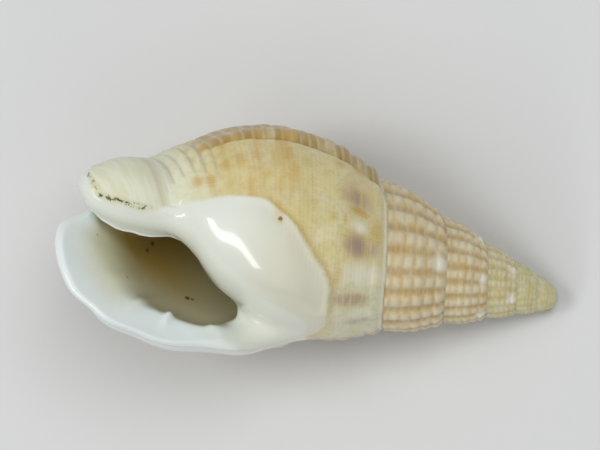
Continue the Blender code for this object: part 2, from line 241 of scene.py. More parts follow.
@dataclass(frozen=True)
class Coil:
    """Bare wall of the shell as a radius around the coiling axis."""

    growth: float = 1.43
    lip_azimuth: float = math.radians(-20.0)
    suture: float = 16.85
    canal_end: float = 31.45
    crest_allowance: float = 0.33
    # How much slimmer the wall is than the outline, round the whorl and near the lip
    slimming: Bell = (25.3, 2.6, 0.32)
    lip_slimming: tuple[Bell, Bell] = ((21.6, 2.0, 0.36), (28.5, 1.5, -0.36))
    # Ridge of old canal ends: its middle, its largest half width, what that loses towards a full
    # turn back and towards the lip, its half width beyond, its half length, and the width over
    # which it is joined to the whorl
    ridge_middle: float = 27.4
    ridge_swell: float = 2.95
    ridge_loss: tuple[float, float] = (1.65, 0.75)
    ridge_start_swell: float = 1.3
    ridge_reach: float = 3.95
    ridge_blend: float = 0.35
    # Radius over the crests at distances from the pole
    outline: Line = (
        (16.85, 5.88), (17.30, 6.42), (18.30, 6.88), (19.30, 7.36), (20.40, 7.80), (21.60, 8.07),
        (22.80, 8.24), (24.10, 8.40), (25.20, 8.33), (26.40, 7.97), (27.50, 7.52), (28.80, 6.80),
        (30.10, 5.97), (31.40, 5.20), (32.70, 4.05), (33.30, 3.37), (34.50, 2.10), (36.00, 1.20),
        (46.00, 0.60),
    )

    def size(self, turn: Array) -> Array:
        """Size of everything at a turn, as a share of full growth."""
        return self.growth ** (-np.asarray(turn, dtype=float))

    def outline_radius(self, distance: Array) -> Array:
        """Radius of a full-grown whorl, a smooth curve through the outline.

        Args:
            distance: Distances from the pole at full growth.

        Returns:
            Radii over the crests of the sculpture.
        """
        knots, radii = np.asarray(self.outline).T
        return cubic_through(knots, radii, np.clip(distance, knots[0], knots[-1]))

    def body_radius(self, turn: Array, distance: Array) -> Array:
        """Radius of the whorl wall, the outline shrunk to the size of its turn.

        Args:
            turn: Turns back from the lip.
            distance: Distances from the pole.

        Returns:
            Radii without the sculpture, on the last whorl a little slimmer than the outline.
        """
        size = self.size(turn)
        full = distance / size
        slimming = bell(full, *self.slimming) * smooth_step(1.0, 0.6, turn)
        waist = bell(full, *self.lip_slimming[0]) + bell(full, *self.lip_slimming[1])
        slimming = slimming + waist * smooth_step(0.30, 0.10, turn)
        return size * (self.outline_radius(full) - slimming - self.crest_allowance)

    @staticmethod
    def end_rounding(distance: Array, start: float, end: float, power: float) -> Array:
        """Share of the radius left at the canal end.

        Args:
            distance: Distances from the pole.
            start: Where the rounding starts.
            end: Where the radius is 0.
            power: How square the rounding is, 2 for an ellipse.

        Returns:
            The root of the power of 1 less the power of the way from start to end.
        """
        share = np.clip((distance - start) / (end - start), 0.0, 1.0)
        return (1.0 - share ** power) ** (1.0 / power)

    def wall_radius(self, turn: Array, distance: Array) -> Array:
        """Outside radius of the bare shell: the whorl joined to the ridge of old canal ends.

        Args:
            turn: Turns back from the lip.
            distance: Distances from the pole.

        Returns:
            Radii without sculpture. The ridge is half an ellipse around the end of the columella.
        """
        back_loss, lip_loss = self.ridge_loss
        swell = self.ridge_swell - back_loss * smooth_step(0.62, 1.0, turn)
        swell = swell - lip_loss * smooth_step(0.45, 0.1, turn)
        swell = np.where(turn > 1.0, self.ridge_start_swell * self.growth ** (1.0 - turn), swell)
        reach = self.ridge_reach - 0.70 * smooth_step(0.78, 1.0, turn)
        share = np.clip((distance - self.ridge_middle) / reach, -0.75, 1.0)
        ridge = swell * np.sqrt(np.clip(1.0 - share * share, 0.0, 1.0))
        rounding = self.end_rounding(distance, self.ridge_middle, 31.95, 4.0)
        joined = smooth_larger(self.body_radius(turn, distance) * rounding, ridge, self.ridge_blend)
        return joined * self.end_rounding(distance, 30.2, self.canal_end + 1e-6, 2.6)

    def point(self, turn: Array, distance: Array, radius: Array) -> Array:
        """Points on the wall in shell coordinates.

        Args:
            turn: Turns back from the lip.
            distance: Distances from the pole.
            radius: Radii around the axis.

        Returns:
            Radius times cosine and sine of the azimuth, then the distance.
        """
        azimuth = self.lip_azimuth + TURN * np.asarray(turn)
        return np.stack(np.broadcast_arrays(
            radius * np.cos(azimuth), radius * np.sin(azimuth), distance
        ), axis=-1)

    def whorl_height(self, turn: Array, distance: Array) -> Array:
        """Height on the whorl: 0 at the suture above, 1 at the suture below, more on the base."""
        return (distance / (self.suture * self.size(turn)) - 1.0) / (self.growth - 1.0)


@dataclass(frozen=True)
class Netting:
    """Ribs along the shell, cords around it and the threads at the sutures."""

    rib_height: float = 0.40
    groove_depth: float = 0.21
    neck_depth: float = 0.24
    thread: Bell = (0.014, 0.012, 0.13)
    notch: Bell = (2.42, 0.06, 0.50)      # groove between the neck and the ridge of the canal
    # Line where growth once paused: its turn at the upper suture, and its turns over a whorl
    break_turn: float = 0.6425
    break_lean: float = 0.0171
    step_height: float = 0.20
    step_length: float = 0.05
    step_groove: Bell = (-0.005, 0.006, 0.14)
    worn_turns: tuple[float, float] = (6.0, 4.9)      # over which the tip's sculpture is worn away

    @staticmethod
    def cord_number(height: Array) -> Array:
        """Count of cords from the suture down to a height, cords widening towards the neck."""
        return 11.66 * height - 0.48 * height ** 2

    @staticmethod
    def broad(number: Array) -> Array:
        """Broad grooves between every second cord and the next: a raised cosine, cubed."""
        return (0.5 + 0.5 * np.cos(math.pi * number)) ** 3

    def since_break(self, turn: Any, height: Any) -> Any:
        """Turns from the line where growth paused, below 0 on the side of the lip."""
        return turn + self.break_lean * height - self.break_turn

    @staticmethod
    def rib_number(turn: Array, height: Array) -> Array:
        """Count of ribs back from the lip: 20 a turn on the spire and 12 on the last whorl.

        Args:
            turn: Turns back from the lip.
            height: Heights on the whorl, as ribs lean a little on the spire.

        Returns:
            Rib counts, whole at the crests. Between 0.98 and 1.245 turns the rate itself rises
            in a straight line.
        """
        lean = 0.023 * (np.clip(height, 0.0, 1.0) - 0.9) * smooth_step(1.0, 1.4, turn)
        turn = np.asarray(turn) - lean
        late = 20.9 - 12.0 * (1.0 - turn)
        rise = np.clip(turn - 0.98, 0.0, 0.265)
        middle = 20.66 + 12.0 * rise + 4.0 * rise ** 2 / 0.265
        early = 24.9 + 20.0 * (turn - 1.245)
        return np.where(turn < 0.98, late, np.where(turn < 1.245, middle, early))

    def crest(self, turn: Array, height: Array) -> Array:
        """Shape of the ribs, 1 on a crest and 0 between two: a raised cosine, broadened."""
        return (0.5 + 0.5 * np.cos(TURN * self.rib_number(turn, height))) ** 0.8

    def relief(self, turn: Array, height: Array, size: Array) -> Array:
        """Height of all the sculpture over the bare wall.

        Args:
            turn: Turns back from the lip.
            height: Heights on the whorl.
            size: Sizes at the turns.

        Returns:
            Millimetres. Ribs are cut by broad grooves on the whorl and give way to the oblique
            cords of the neck. A thread runs along each suture, and a groove and a step, which
            dies away as e to the minus turns, mark where growth paused.
        """
        number = self.cord_number(height)
        rib = self.crest(turn, height)
        whole = np.round(self.rib_number(turn, height))
        uneven = 0.85 + 0.3 * cell_chance(whole, 0.0 * whole, 3.0)
        since = self.since_break(turn, height)
        front = smooth_step(0.0, 0.03, since) * smooth_step(1.12, 1.02, turn)
        neck = smooth_step(1.55, 2.05, height)
        low = smooth_step(1.0, 1.7, height)
        ribs = self.rib_height * uneven * rib * (1.0 - 0.60 * front)
        ribs = ribs * (1.0 - neck) * (1.0 - 0.35 * low)
        broad_share = smooth_step(0.95, 0.45, height) + 0.35 * smooth_step(0.45, 0.95, height)
        broad_share = broad_share * smooth_step(1.5, 1.1, height) * (1.0 - 0.80 * front)
        grooves = self.groove_depth * self.broad(number) * broad_share * (0.35 + 0.65 * rib)
        neck_share = 0.90 * smooth_step(1.62, 1.92, height)
        neck_share = neck_share * (1.0 - 0.88 * smooth_step(2.38, 2.52, height))
        fine_share = 0.04 * smooth_step(0.9, 1.2, height) + neck_share
        grooves = grooves + self.neck_depth * fine_share * self.narrow(number)
        grooves = grooves + bell(height, *self.notch) * (turn < 1.0)
        thread = bell(height, *self.thread)
        step = np.where(since > 0.0, np.exp(-np.maximum(since, 0.0) / self.step_length), 0.0)
        step = self.step_height * step - bell(since, *self.step_groove)
        step = step * smooth_step(0.02, 0.2, height) * smooth_step(2.0, 1.5, height) * (turn < 1.2)
        kept = smooth_step(*self.worn_turns, turn)
        return size * kept * (ribs - grooves + thread + step)

    @staticmethod
    def narrow(number: Array) -> Array:
        """Narrow grooves at the half counts of the cords: the square of a raised cosine."""
        return (0.5 + 0.5 * np.cos(TURN * (number - 0.5))) ** 2


@dataclass(frozen=True)
class Callus:
    """White shield that the animal laid over the front of the last whorl and its canal end.

    The edge is given as seen from the front, as (distance along the axis, sideways), from the tip
    of the canal round to the outer lip.
    """

    # Thickness inside the shield and at its edge, and the raised rim just inside the edge
    thickness: float = 0.36
    edge_thickness: float = 0.10
    rim: Bell = (0.12, 0.12, 1.0)
    rim_height: float = 0.12
    reach: float = 4.0
    lean: float = math.radians(5.0)
    pad_push: tuple[float, float, float] = (0.10, -0.40, 0.0)
    edge: Line = (
        (31.60, -0.85), (30.90, -0.95), (30.30, -0.62), (29.85, -0.15), (29.00, 0.02), (28.20, -0.03),
        (27.40, 0.10), (26.75, 0.05), (26.10, -0.20), (25.86, -0.42), (24.42, -1.02), (23.04, -1.62),
        (22.20, -1.92), (21.00, -2.10), (20.28, -2.16), (19.74, -2.04), (19.02, -1.62),
        (18.36, -1.32), (17.76, -0.90), (17.22, -0.30), (16.74, 0.18), (16.32, 0.72), (15.84, 1.02),
        (15.24, 1.86), (15.06, 2.40), (15.00, 3.00), (14.97, 3.72), (14.88, 4.50), (15.24, 5.04),
        (16.20, 5.70),
    )

    # Line along the crown of the shield, seen from the front in the same way
    crown: Line = ((23.50, -0.60), (19.95, 1.76))

    def front(self, points: Array) -> Array:
        """Plane coordinates of points as seen from the front.

        Args:
            points: Points in shell coordinates.

        Returns:
            Distance along the leaning axis and distance sideways.
        """
        along = points[..., 2] * math.cos(self.lean) + points[..., 1] * math.sin(self.lean)
        return np.stack((along, points[..., 0]), axis=-1)

    def depth_inside(self, turn: Array, points: Array) -> Array:
        """Distance inside the edge of the shield, below 0 outside it.

        Args:
            turn: Turns back from the lip, as only the front of the last whorl is covered.
            points: Bare wall points in shell coordinates.

        Returns:
            Millimetres from the edge, up to the reach on either side.
        """
        edge = np.asarray(self.edge)
        closed = np.concatenate((edge, ((17.0, 9.0), (34.0, 9.0), (34.0, -0.9))))
        seen = self.front(points)
        distance = path_distance(seen, edge)
        signed = np.where(inside_outline(seen, closed), distance, -distance)
        signed = np.where((turn > 0.60) & (turn < 1.02), signed, -self.reach)
        return np.clip(signed, -self.reach, self.reach)

    def cover(self, inside: Array) -> Array:
        """Share of the sculpture that is buried, from the edge inwards."""
        return smooth_step(-0.03, 0.55, inside)

    def height(self, inside: Array, distance: Array) -> Array:
        """Height of the shield over the bare wall.

        Args:
            inside: Distances inside its edge.
            distance: Distances from the pole.

        Returns:
            Millimetres: a thin edge, a soft rise that is lower by the spire, and on that side a
            raised rim before it.
        """
        rim = bell(inside, *self.rim) * smooth_step(21.0, 19.5, distance)
        spread = 0.25 + 0.75 * smooth_step(15.5, 19.5, distance)
        return (
            self.edge_thickness * smooth_step(-0.04, 0.16, inside)
            + (self.thickness - self.edge_thickness) * smooth_step(0.15, 2.0, inside) * spread
            + self.rim_height * rim
        )

    def pad(self, turn: Array, distance: Array) -> Array:
        """Push of the pad that joins the shield to the outer lip.

        Args:
            turn: Turns back from the lip.
            distance: Distances from the pole.

        Returns:
            Offsets towards the front, rising over the turns to the lip and fading along the axis.
        """
        late = turn < 0.5
        place = np.where(late, turn + 1.0, turn)
        along = np.where(late, smooth_step(18.6, 16.9, distance), smooth_step(21.6, 18.4, distance))
        along = along * smooth_step(15.2, 17.2, distance)
        rise = np.where(late, 0.65 * smooth_step(1.09, 1.0, place), smooth_step(0.91, 1.06, place))
        rise = rise * smooth_step(1.30, 1.12, place)
        return (rise * along)[..., None] * np.array(self.pad_push)


@dataclass
class Surface:
    """Vertices with named values and faces, gathered block by block as whole arrays."""

    # Shares of the way that one pass of relaxing moves a vertex
    filling: ClassVar[float] = 0.6
    evening: ClassVar[float] = 0.4

    names: tuple[str, ...]
    points: list[Array] = field(default_factory=list)
    values: dict[str, list[Array]] = field(default_factory=dict)
    quads: list[Array] = field(default_factory=list)
    quad_places: list[Array] = field(default_factory=list)
    triangles: list[Array] = field(default_factory=list)
    count: int = 0

    def add(self, points: Array, **values: Array) -> Array:
        """Add a block of vertices.

        Args:
            points: Points, the last axis holding the coordinates.
            values: Named values, one a point or one for all.

        Returns:
            Vertex numbers in the shape of the block.
        """
        shape = points.shape[:-1]
        amount = int(np.prod(shape))
        self.points.append(points.reshape(-1, 3))
        for name in self.names:
            value = np.broadcast_to(values.get(name, 0.0), shape).reshape(-1)
            self.values.setdefault(name, []).append(value)
        index = self.count + np.arange(amount).reshape(shape)
        self.count += amount
        return index

    def sheet(self, index: Array, places: Array) -> None:
        """Add the quads between neighbouring lines of a grid.

        Args:
            index: Vertex numbers, columns first and rows second.
            places: Pattern coordinates at the same grid points.
        """
        around = (
            (slice(None, -1), slice(None, -1)), (slice(None, -1), slice(1, None)),
            (slice(1, None), slice(1, None)), (slice(1, None), slice(None, -1)),
        )
        corners = np.stack([index[part] for part in around], axis=-1)
        corner_places = np.stack([places[part] for part in around], axis=-2)
        self.quads.append(corners.reshape(-1, 4))
        self.quad_places.append(corner_places.reshape(-1, 4, 2))

    def rings(self, loops: Array) -> None:
        """Add the quads between closed loops of the same count.

        Args:
            loops: Vertex numbers, one loop a row.
        """
        first, second = loops[:-1], loops[1:]
        quads = np.stack((
            np.roll(first, -1, axis=1), first, second, np.roll(second, -1, axis=1)
        ), axis=-1).reshape(-1, 4)
        self.quads.append(quads)
        self.quad_places.append(np.zeros((len(quads), 4, 2)))

    def fan(self, loop: Array, middle: int) -> None:
        """Close a loop with triangles to one vertex.

        Args:
            loop: Vertex numbers of the loop.
            middle: Number of the vertex they all meet in.
        """
        spokes = np.full(len(loop), middle)
        self.triangles.append(np.stack((np.roll(loop, -1), loop, spokes), axis=-1))

    def relax(self, weight: Array, passes: tuple[int, int]) -> None:
        """Even out the surface where the weight is above 0.

        The first passes move each vertex towards the mean of its neighbours, which fills creases.
        The others move it against the same difference taken twice, which keeps a bulge a bulge.

        Args:
            weight: Share of the full movement at every vertex.
            passes: Numbers of passes of the two kinds.
        """
        every = np.concatenate(self.points)
        edges = np.concatenate([
            face.reshape(-1, face.shape[-1])[:, (side, (side + 1) % face.shape[-1])]
            for face in self.quads + self.triangles for side in range(face.shape[-1])
        ])
        active = weight > 0.0
        ring = active.copy()
        ring[edges[active[edges[:, 1]], 0]] = True
        edges = edges[ring[edges[:, 0]]]
        used, local = np.unique(edges, return_inverse=True)
        start, end = local.reshape(-1, 2).T
        points, inner = every[used], ring[used]
        count = np.maximum(np.bincount(start, minlength=len(used)), 1)[:, None]
        share = (weight[used] * active[used])[:, None]

        def difference(values: Array) -> Array:
            """Mean of the neighbours less the value itself, or 0 outside the ring.

            Args:
                values: One row a vertex in use.

            Returns:
                One row a vertex in use.
            """
            total = [np.bincount(start, values[end, axis], len(used)) for axis in range(3)]
            return (np.stack(total, axis=-1) / count - values) * inner[:, None]

        for _ in range(passes[0]):
            points = points + self.filling * share * difference(points)
        for _ in range(passes[1]):
            points = points - self.evening * share * difference(difference(points))
        every[used] = points
        lengths = np.cumsum([len(block) for block in self.points])[:-1]
        self.points = list(np.split(every, lengths))

    def mesh(self, name: str, resting: Resting) -> bpy.types.Mesh:
        """Make the mesh, with its values as attributes and its pattern coordinates as a UV map.

        Args:
            name: Name of the mesh.
            resting: How the surface is laid into the frame.

        Returns:
            A smooth shaded mesh in metres.
        """
        points = resting.lay_down(np.concatenate(self.points))
        quads = np.concatenate(self.quads)
        triangles = np.concatenate(self.triangles)
        corners = np.concatenate((quads.reshape(-1), triangles.reshape(-1)))
        sizes = np.concatenate((np.full(len(quads), 4), np.full(len(triangles), 3)))
        mesh = bpy.data.meshes.new(name)
        mesh.vertices.add(len(points))
        mesh.vertices.foreach_set("co", points.reshape(-1))
        mesh.loops.add(len(corners))
        mesh.loops.foreach_set("vertex_index", corners)
        mesh.polygons.add(len(sizes))
        mesh.polygons.foreach_set("loop_start", np.concatenate(([0], np.cumsum(sizes)[:-1])))
        mesh.update(calc_edges=True)
        places = np.zeros((len(corners), 2))
        places[: quads.size] = np.concatenate(self.quad_places).reshape(-1, 2)
        mesh.uv_layers.new(name="netting").data.foreach_set("uv", places.reshape(-1))
        for value_name in self.names:
            value = np.concatenate(self.values[value_name]).astype(np.float32)
            mesh.attributes.new(value_name, "FLOAT", "POINT").data.foreach_set("value", value)
        mesh.validate(verbose=False)
        mesh.shade_smooth()
        return mesh


@dataclass(frozen=True)
class Lip:
    """Thick outer lip, from its outside edge over a raised crest and a shelf with teeth."""

    # Edge round the canal notch, and rim of the hollow: along the axis, sideways, to the back
    end: Path = (
        (30.55, 5.75, -1.95), (31.30, 4.75, -1.60), (31.80, 3.70, -1.20), (32.00, 2.75, -0.80),
        (31.85, 1.95, -0.30), (31.15, 1.40, 0.35), (30.45, 0.95, 0.80), (30.05, 0.50, 1.05),
        (30.15, 0.05, 1.05), (30.65, -0.30, 0.70), (31.45, -0.50, 0.20),
    )
    rim: Path = (
        (20.50, 5.10, -1.30), (21.20, 5.50, -1.75), (22.00, 5.90, -2.00), (24.20, 5.80, -2.10),
        (26.00, 5.30, -1.90), (27.30, 4.35, -1.20), (28.40, 3.25, -0.20), (29.20, 2.05, 0.65),
        (29.50, 1.10, 1.15),
    )
    # Line from the back of the aperture to the suture, along which lip and shield run together
    corner: Line = ((19.40, 4.75), (18.50, 5.00), (16.60, 5.60))
    rim_top: float = 20.50
    rim_bottom: float = 30.30
    # Thick band outside the lip: the turns over which it rises, and its height over the wall
    band: tuple[float, float] = (0.085, 0.02)
    band_height: float = 0.46
    # Bottom of the canal notch as seen from the front, and the slopes of its two sides
    notch: tuple[float, float] = (29.93, 0.61)
    notch_slopes: tuple[float, float] = (1.34, -1.24)
    # From edge to rim: share of the way to the crest, share of the way beyond it, push to the front
    profile: Path = (
        (-0.005, 0.0, 0.13), (0.25, 0.0, 0.30), (0.55, 0.0, 0.42), (0.82, 0.0, 0.50),
        (1.00, 0.0, 0.53), (1.0, 0.04, 0.51), (1.0, 0.10, 0.46), (1.0, 0.18, 0.40),
        (1.0, 0.28, 0.33), (1.0, 0.40, 0.25), (1.0, 0.53, 0.17), (1.0, 0.66, 0.10),
        (1.0, 0.79, 0.04), (1.0, 0.90, 0.0), (1.0, 1.00, -0.02),
    )
    # Teeth and ridges as seen from the front: along, sideways, reach, width, height, lean
    teeth: tuple[tuple[float, float, float, float, float, float], ...] = (
        (27.40, 4.35, 0.55, 0.26, 0.26, 0.9), (26.00, 5.30, 0.50, 0.26, 0.40, 1.1),
        (24.17, 5.78, 0.45, 0.26, 0.55, 1.35), (21.75, 5.80, 0.34, 0.19, 0.26, 1.7),
        (21.25, 5.60, 0.32, 0.16, 0.22, 1.8), (20.85, 5.40, 0.30, 0.15, 0.18, 1.9),
        (28.80, 3.60, 0.60, 0.20, 0.12, 0.65), (29.50, 2.75, 0.60, 0.18, 0.10, 0.5),
    )
    # Folds on the inner lip, as seen along the axis from the front
    folds: tuple[Bell, ...] = (
        (28.15, 0.30, 0.22), (27.00, 0.24, 0.20), (26.30, 0.22, 0.16), (25.50, 0.25, 0.10),
    )
    # Way from the wall along which teeth and folds stand up
    raised: tuple[float, float, float] = (0.65, 0.60, 0.0)

    def crest_share(self, share: Array) -> Array:
        """How far in from the edge the crest stands, farther towards the suture."""
        return 0.12 + 0.36 * smooth_step(0.36, 0.10, share)

    def fold_height(self, along: Array) -> Array:
        """Height of the folds over the inner lip, the sum of a bell for each."""
        return np.sum([bell(along, *fold) for fold in self.folds], axis=0)

    def tooth_height(self, seen: Array) -> Array:
        """Height of the teeth over the lip: a bell for each, longer inwards than it is wide.

        Args:
            seen: Front coordinates of the points.

        Returns:
            Millimetres.
        """
        total = np.zeros(seen.shape[:-1])
        for along, sideways, reach, width, height, lean in self.teeth:
            offset = seen - np.array((along, sideways))
            inward = offset[..., 0] * math.cos(lean) + offset[..., 1] * math.sin(lean)
            across = offset[..., 1] * math.cos(lean) - offset[..., 0] * math.sin(lean)
            total = total + height * np.exp(-(inward / reach) ** 2 - (across / width) ** 2)
        return total


@dataclass(frozen=True)
class Mark:
    """One soft-edged patch of colour, by turn and height on the whorl."""

    turn: float
    height: float
    width: float      # in turns
    length: float     # in heights
    strength: float

    def amount(self, turn: Array, height: Array) -> Array:
        """Strength over the surface: a flat-topped bell, exp(-(d^2)^1.5)."""
        away = ((turn - self.turn) / self.width) ** 2 + ((height - self.height) / self.length) ** 2
        return self.strength * np.exp(-away ** 1.5)


@dataclass(frozen=True)
class Markings:
    """Golden brown, lilac and white marks that stay in fixed places on the shell; one white mark is a
    painted highlight.
    """

    brown: tuple[Mark, ...] = (
        Mark(0.600, 1.87, 0.016, 0.045, 0.9), Mark(0.571, 1.73, 0.014, 0.05, 0.7),
        Mark(0.617, 1.73, 0.013, 0.05, 0.6), Mark(0.675, 1.74, 0.014, 0.05, 0.7),
        Mark(0.669, 1.60, 0.018, 0.05, 0.6), Mark(0.701, 2.03, 0.016, 0.05, 0.9),
        Mark(0.706, 1.90, 0.018, 0.05, 0.8), Mark(0.582, 2.01, 0.013, 0.04, 0.6),
        Mark(0.628, 2.01, 0.013, 0.04, 0.5), Mark(0.728, 0.34, 0.009, 0.13, 1.0),
        Mark(0.641, 0.32, 0.016, 0.10, 0.8), Mark(0.886, 0.30, 0.010, 0.12, 0.5),
        Mark(0.752, 0.12, 0.030, 0.08, 0.6), Mark(0.847, 0.55, 0.018, 0.06, 0.6),
        Mark(0.777, 1.22, 0.007, 0.03, 1.0), Mark(0.765, 1.24, 0.020, 0.06, 0.45),
        Mark(0.752, 0.50, 0.009, 0.03, 0.8), Mark(0.750, 0.63, 0.010, 0.04, 0.5),
        Mark(0.700, 0.36, 0.034, 0.20, 0.45), Mark(0.790, 0.34, 0.034, 0.18, 0.35),
        Mark(0.893, 0.36, 0.020, 0.20, 0.40), Mark(0.652, 0.55, 0.012, 0.07, 0.55),
        Mark(0.660, 1.42, 0.012, 0.06, 0.45), Mark(0.655, 1.10, 0.014, 0.07, 0.50),
        Mark(0.690, 1.05, 0.016, 0.04, 0.45), Mark(0.668, 0.92, 0.014, 0.05, 0.45),
        Mark(0.590, 1.35, 0.020, 0.08, 0.7), Mark(0.600, 1.05, 0.022, 0.09, 0.8),
        Mark(0.585, 0.80, 0.020, 0.07, 0.6), Mark(0.600, 1.60, 0.014, 0.05, 0.7),
    )
    lilac: tuple[Mark, ...] = (
        Mark(0.790, 0.30, 0.020, 0.21, 1.0), Mark(0.706, 0.36, 0.018, 0.17, 0.8),
        Mark(0.892, 0.38, 0.013, 0.20, 1.0), Mark(0.950, 0.28, 0.010, 0.14, 0.6),
        Mark(0.530, 0.33, 0.020, 0.12, 0.6),
        Mark(0.370, 0.35, 0.02, 0.12, 0.7), Mark(0.205, 0.33, 0.02, 0.12, 0.5),
    )
    white: tuple[Mark, ...] = (
        Mark(1.778, 0.10, 0.026, 0.12, 1.0), Mark(2.600, 0.12, 0.022, 0.13, 0.9),
        Mark(2.795, 0.11, 0.020, 0.10, 0.9), Mark(2.960, 0.10, 0.020, 0.12, 0.9),
        Mark(3.700, 0.15, 0.030, 0.16, 0.8), Mark(3.860, 0.12, 0.030, 0.18, 0.9),
        Mark(0.840, 0.24, 0.024, 0.26, 0.7), Mark(1.300, 0.12, 0.024, 0.12, 0.8),
        # The white mark at turn 0.757 is a painted highlight on a rib.
        Mark(0.757, 0.33, 0.011, 0.09, 0.8), Mark(0.925, 0.25, 0.012, 0.16, 0.5),
        Mark(2.250, 0.12, 0.024, 0.12, 0.8),
    )

    @staticmethod
    def total(marks: tuple[Mark, ...], turn: Array, height: Array) -> Array:
        """Largest amount of any of the marks at each place."""
        amounts = [mark.amount(turn, height) for mark in marks]
        return np.clip(np.max(amounts, axis=0), 0.0, 1.0)


@dataclass
class Shell:
    """The shell's surface: whorls, base, canal, callus, lip, hollow and worn apex."""

    coil: Coil = field(default_factory=Coil)
    netting: Netting = field(default_factory=Netting)
    callus: Callus = field(default_factory=Callus)
    lip: Lip = field(default_factory=Lip)
    markings: Markings = field(default_factory=Markings)
    resting: Resting = field(default_factory=Resting)
    turns: float = 6.0
    columns: int = 320
    whorl_rows: int = 32
    base_rows: int = 58
    canal_rows: int = 20
    # Where the rows of the neck end: at full growth, and at most
    neck_end: float = 33.2
    neck_limit: float = 30.6
    wall: float = 0.42
    apex: float = 1.70
    # Where the canal's end starts to be drawn in to its tip, and the tip itself
    tip_start: float = 30.2
    tip: tuple[float, float, float] = (-0.50, 0.20, 31.45)
    # The hollow: from how far below the suture, to which distance, to how many turns behind the lip
    hollow_top: float = 1.5
    hollow_bottom: float = 29.0
    hollow_end: float = 1.2
    bare_depth: float = -0.2     # stands for all that is outside the hollow

    # Values that the surface carries for its material. Those named for a finish are amounts of it,
    # callus is the distance inside its edge, depth the turns into the hollow, height the height on
    # the whorl, and age the turns back from the lip.
    names: ClassVar[tuple[str, ...]] = (
        "callus", "lip", "depth", "rib", "broad", "canal", "brown", "lilac", "white", "height",
        "seam", "age",
    )

    def row_distances(self, turn: Array) -> Array:
        """Distances from the pole of all rows between suture and canal end at each turn.

        Args:
            turn: Turns back from the lip, one a column.

        Returns:
            One row of distances a turn: closer together below the suture, even down to the neck,
            and eased with a sine towards the end of the canal.
        """
        size = self.coil.size(turn)[:, None]
        suture = self.coil.suture * size
        whorl = np.linspace(0.0, 1.0, self.whorl_rows + 1) ** 1.2
        rows = suture * (1.0 + (self.coil.growth - 1.0) * whorl[None, :])
        neck = self.neck_end * size
        neck = 0.5 * (neck + self.neck_limit - np.sqrt((neck - self.neck_limit) ** 2 + 1.0))
        lower = suture * self.coil.growth
        base = np.linspace(0.0, 1.0, self.base_rows + 1)[1:]
        canal = np.sin(np.linspace(0.0, 0.5 * math.pi, self.canal_rows + 1))[1:]
        return np.concatenate((
            rows, lower + (neck - lower) * base[None, :],
            neck + (self.coil.canal_end - neck) * canal[None, :],
        ), axis=1)

    def outside(self, turn: Array, rows: slice) -> tuple[Array, Array, dict[str, Array]]:
        """Outside surface for some rows at each turn.

        Args:
            turn: Turns back from the lip, one a column.
            rows: Which rows are wanted.

        Returns:
            Points, pattern coordinates (turn and cord number), and the named values.
        """
        distance = self.row_distances(turn)[:, rows]
        turns = np.repeat(turn[:, None], distance.shape[1], axis=1)
        height = self.coil.whorl_height(turns, distance)
        size = self.coil.size(turns)
        bare = self.coil.wall_radius(turns, distance)
        inside = self.callus.depth_inside(turns, self.coil.point(turns, distance, bare))
        cover = self.callus.cover(inside)
        # Row numbers tell the canal's end from the rest of the wall
        number = np.arange(self.whorl_rows + self.base_rows + self.canal_rows + 1)[rows]
        neck_row = self.whorl_rows + self.base_rows
        canal = smooth_step(neck_row - 3.0, neck_row + 3.0, number)[None, :] + 0.0 * distance
        relief = self.netting.relief(turns, height, size)
        relief = relief * (1.0 - 0.9 * canal) * (1.0 - cover)
        band = smooth_step(*self.lip.band, turns)
        relief = relief * (1.0 - 0.4 * smooth_step(0.22, 0.05, turns)) * (1.0 - band)
        relief = relief + self.lip.band_height * band * smooth_step(31.0, 29.0, distance)
        shield = self.callus.height(inside, distance) * smooth_step(31.45, 30.6, distance)
        points = self.coil.point(turns, distance, bare + relief + shield)
        points = points + self.callus.pad(turns, distance)
        fold = self.lip.fold_height(self.callus.front(points)[..., 0]) * smooth_step(0.94, 1.0, turns)
        points = points + (fold * (turns < 1.2))[..., None] * np.array(self.lip.raised)
        cords = self.netting.cord_number(height)
        corner = smooth_step(1.1, 0.7, self.away_from(points, self.lip.corner)) * (points[..., 1] < -1.0)
        # The canal's tip is white all round, as is all that lies far inside the shield's edge
        tip = -self.callus.reach + 6.0 * smooth_step(30.5, 30.9, distance)
        values = {
            "callus": np.maximum(inside, tip),
            "lip": np.maximum(band, corner),
            "depth": self.bare_depth,
            "canal": canal,
            "rib": self.netting.crest(turns, height),
            "broad": self.netting.broad(cords),
            "height": height,
            "age": turns,
            "brown": self.markings.total(self.markings.brown, turns, height),
            "lilac": self.markings.total(self.markings.lilac, turns, height),
            "white": self.markings.total(self.markings.white, turns, height),
            "seam": self.seam(turns, points, inside),
        }
        values = {name: np.broadcast_to(value, distance.shape) for name, value in values.items()}
        return points, np.stack((turns, cords), axis=-1), values

    def away_from(self, points: Array, line: Line) -> Array:
        """Distance of points from a line, as seen from the front."""
        return path_distance(self.callus.front(points), np.asarray(line))

    def seam(self, turn: Array, points: Array, inside: Array) -> Array:
        """Nearness to the dirty seam between callus and canal ridge, 1 on the seam itself.

        Args:
            turn: Turns back from the lip.
            points: Points in shell coordinates.
            inside: Distances inside the callus edge.

        Returns:
            A bell of the distance from the callus edge, only along the canal.
        """
        along = self.callus.front(points)[..., 0]
        near = bell(inside, -0.10, 0.22)
        return near * smooth_step(25.9, 27.2, along) * smooth_step(31.2, 30.7, along) * (turn < 1.0)

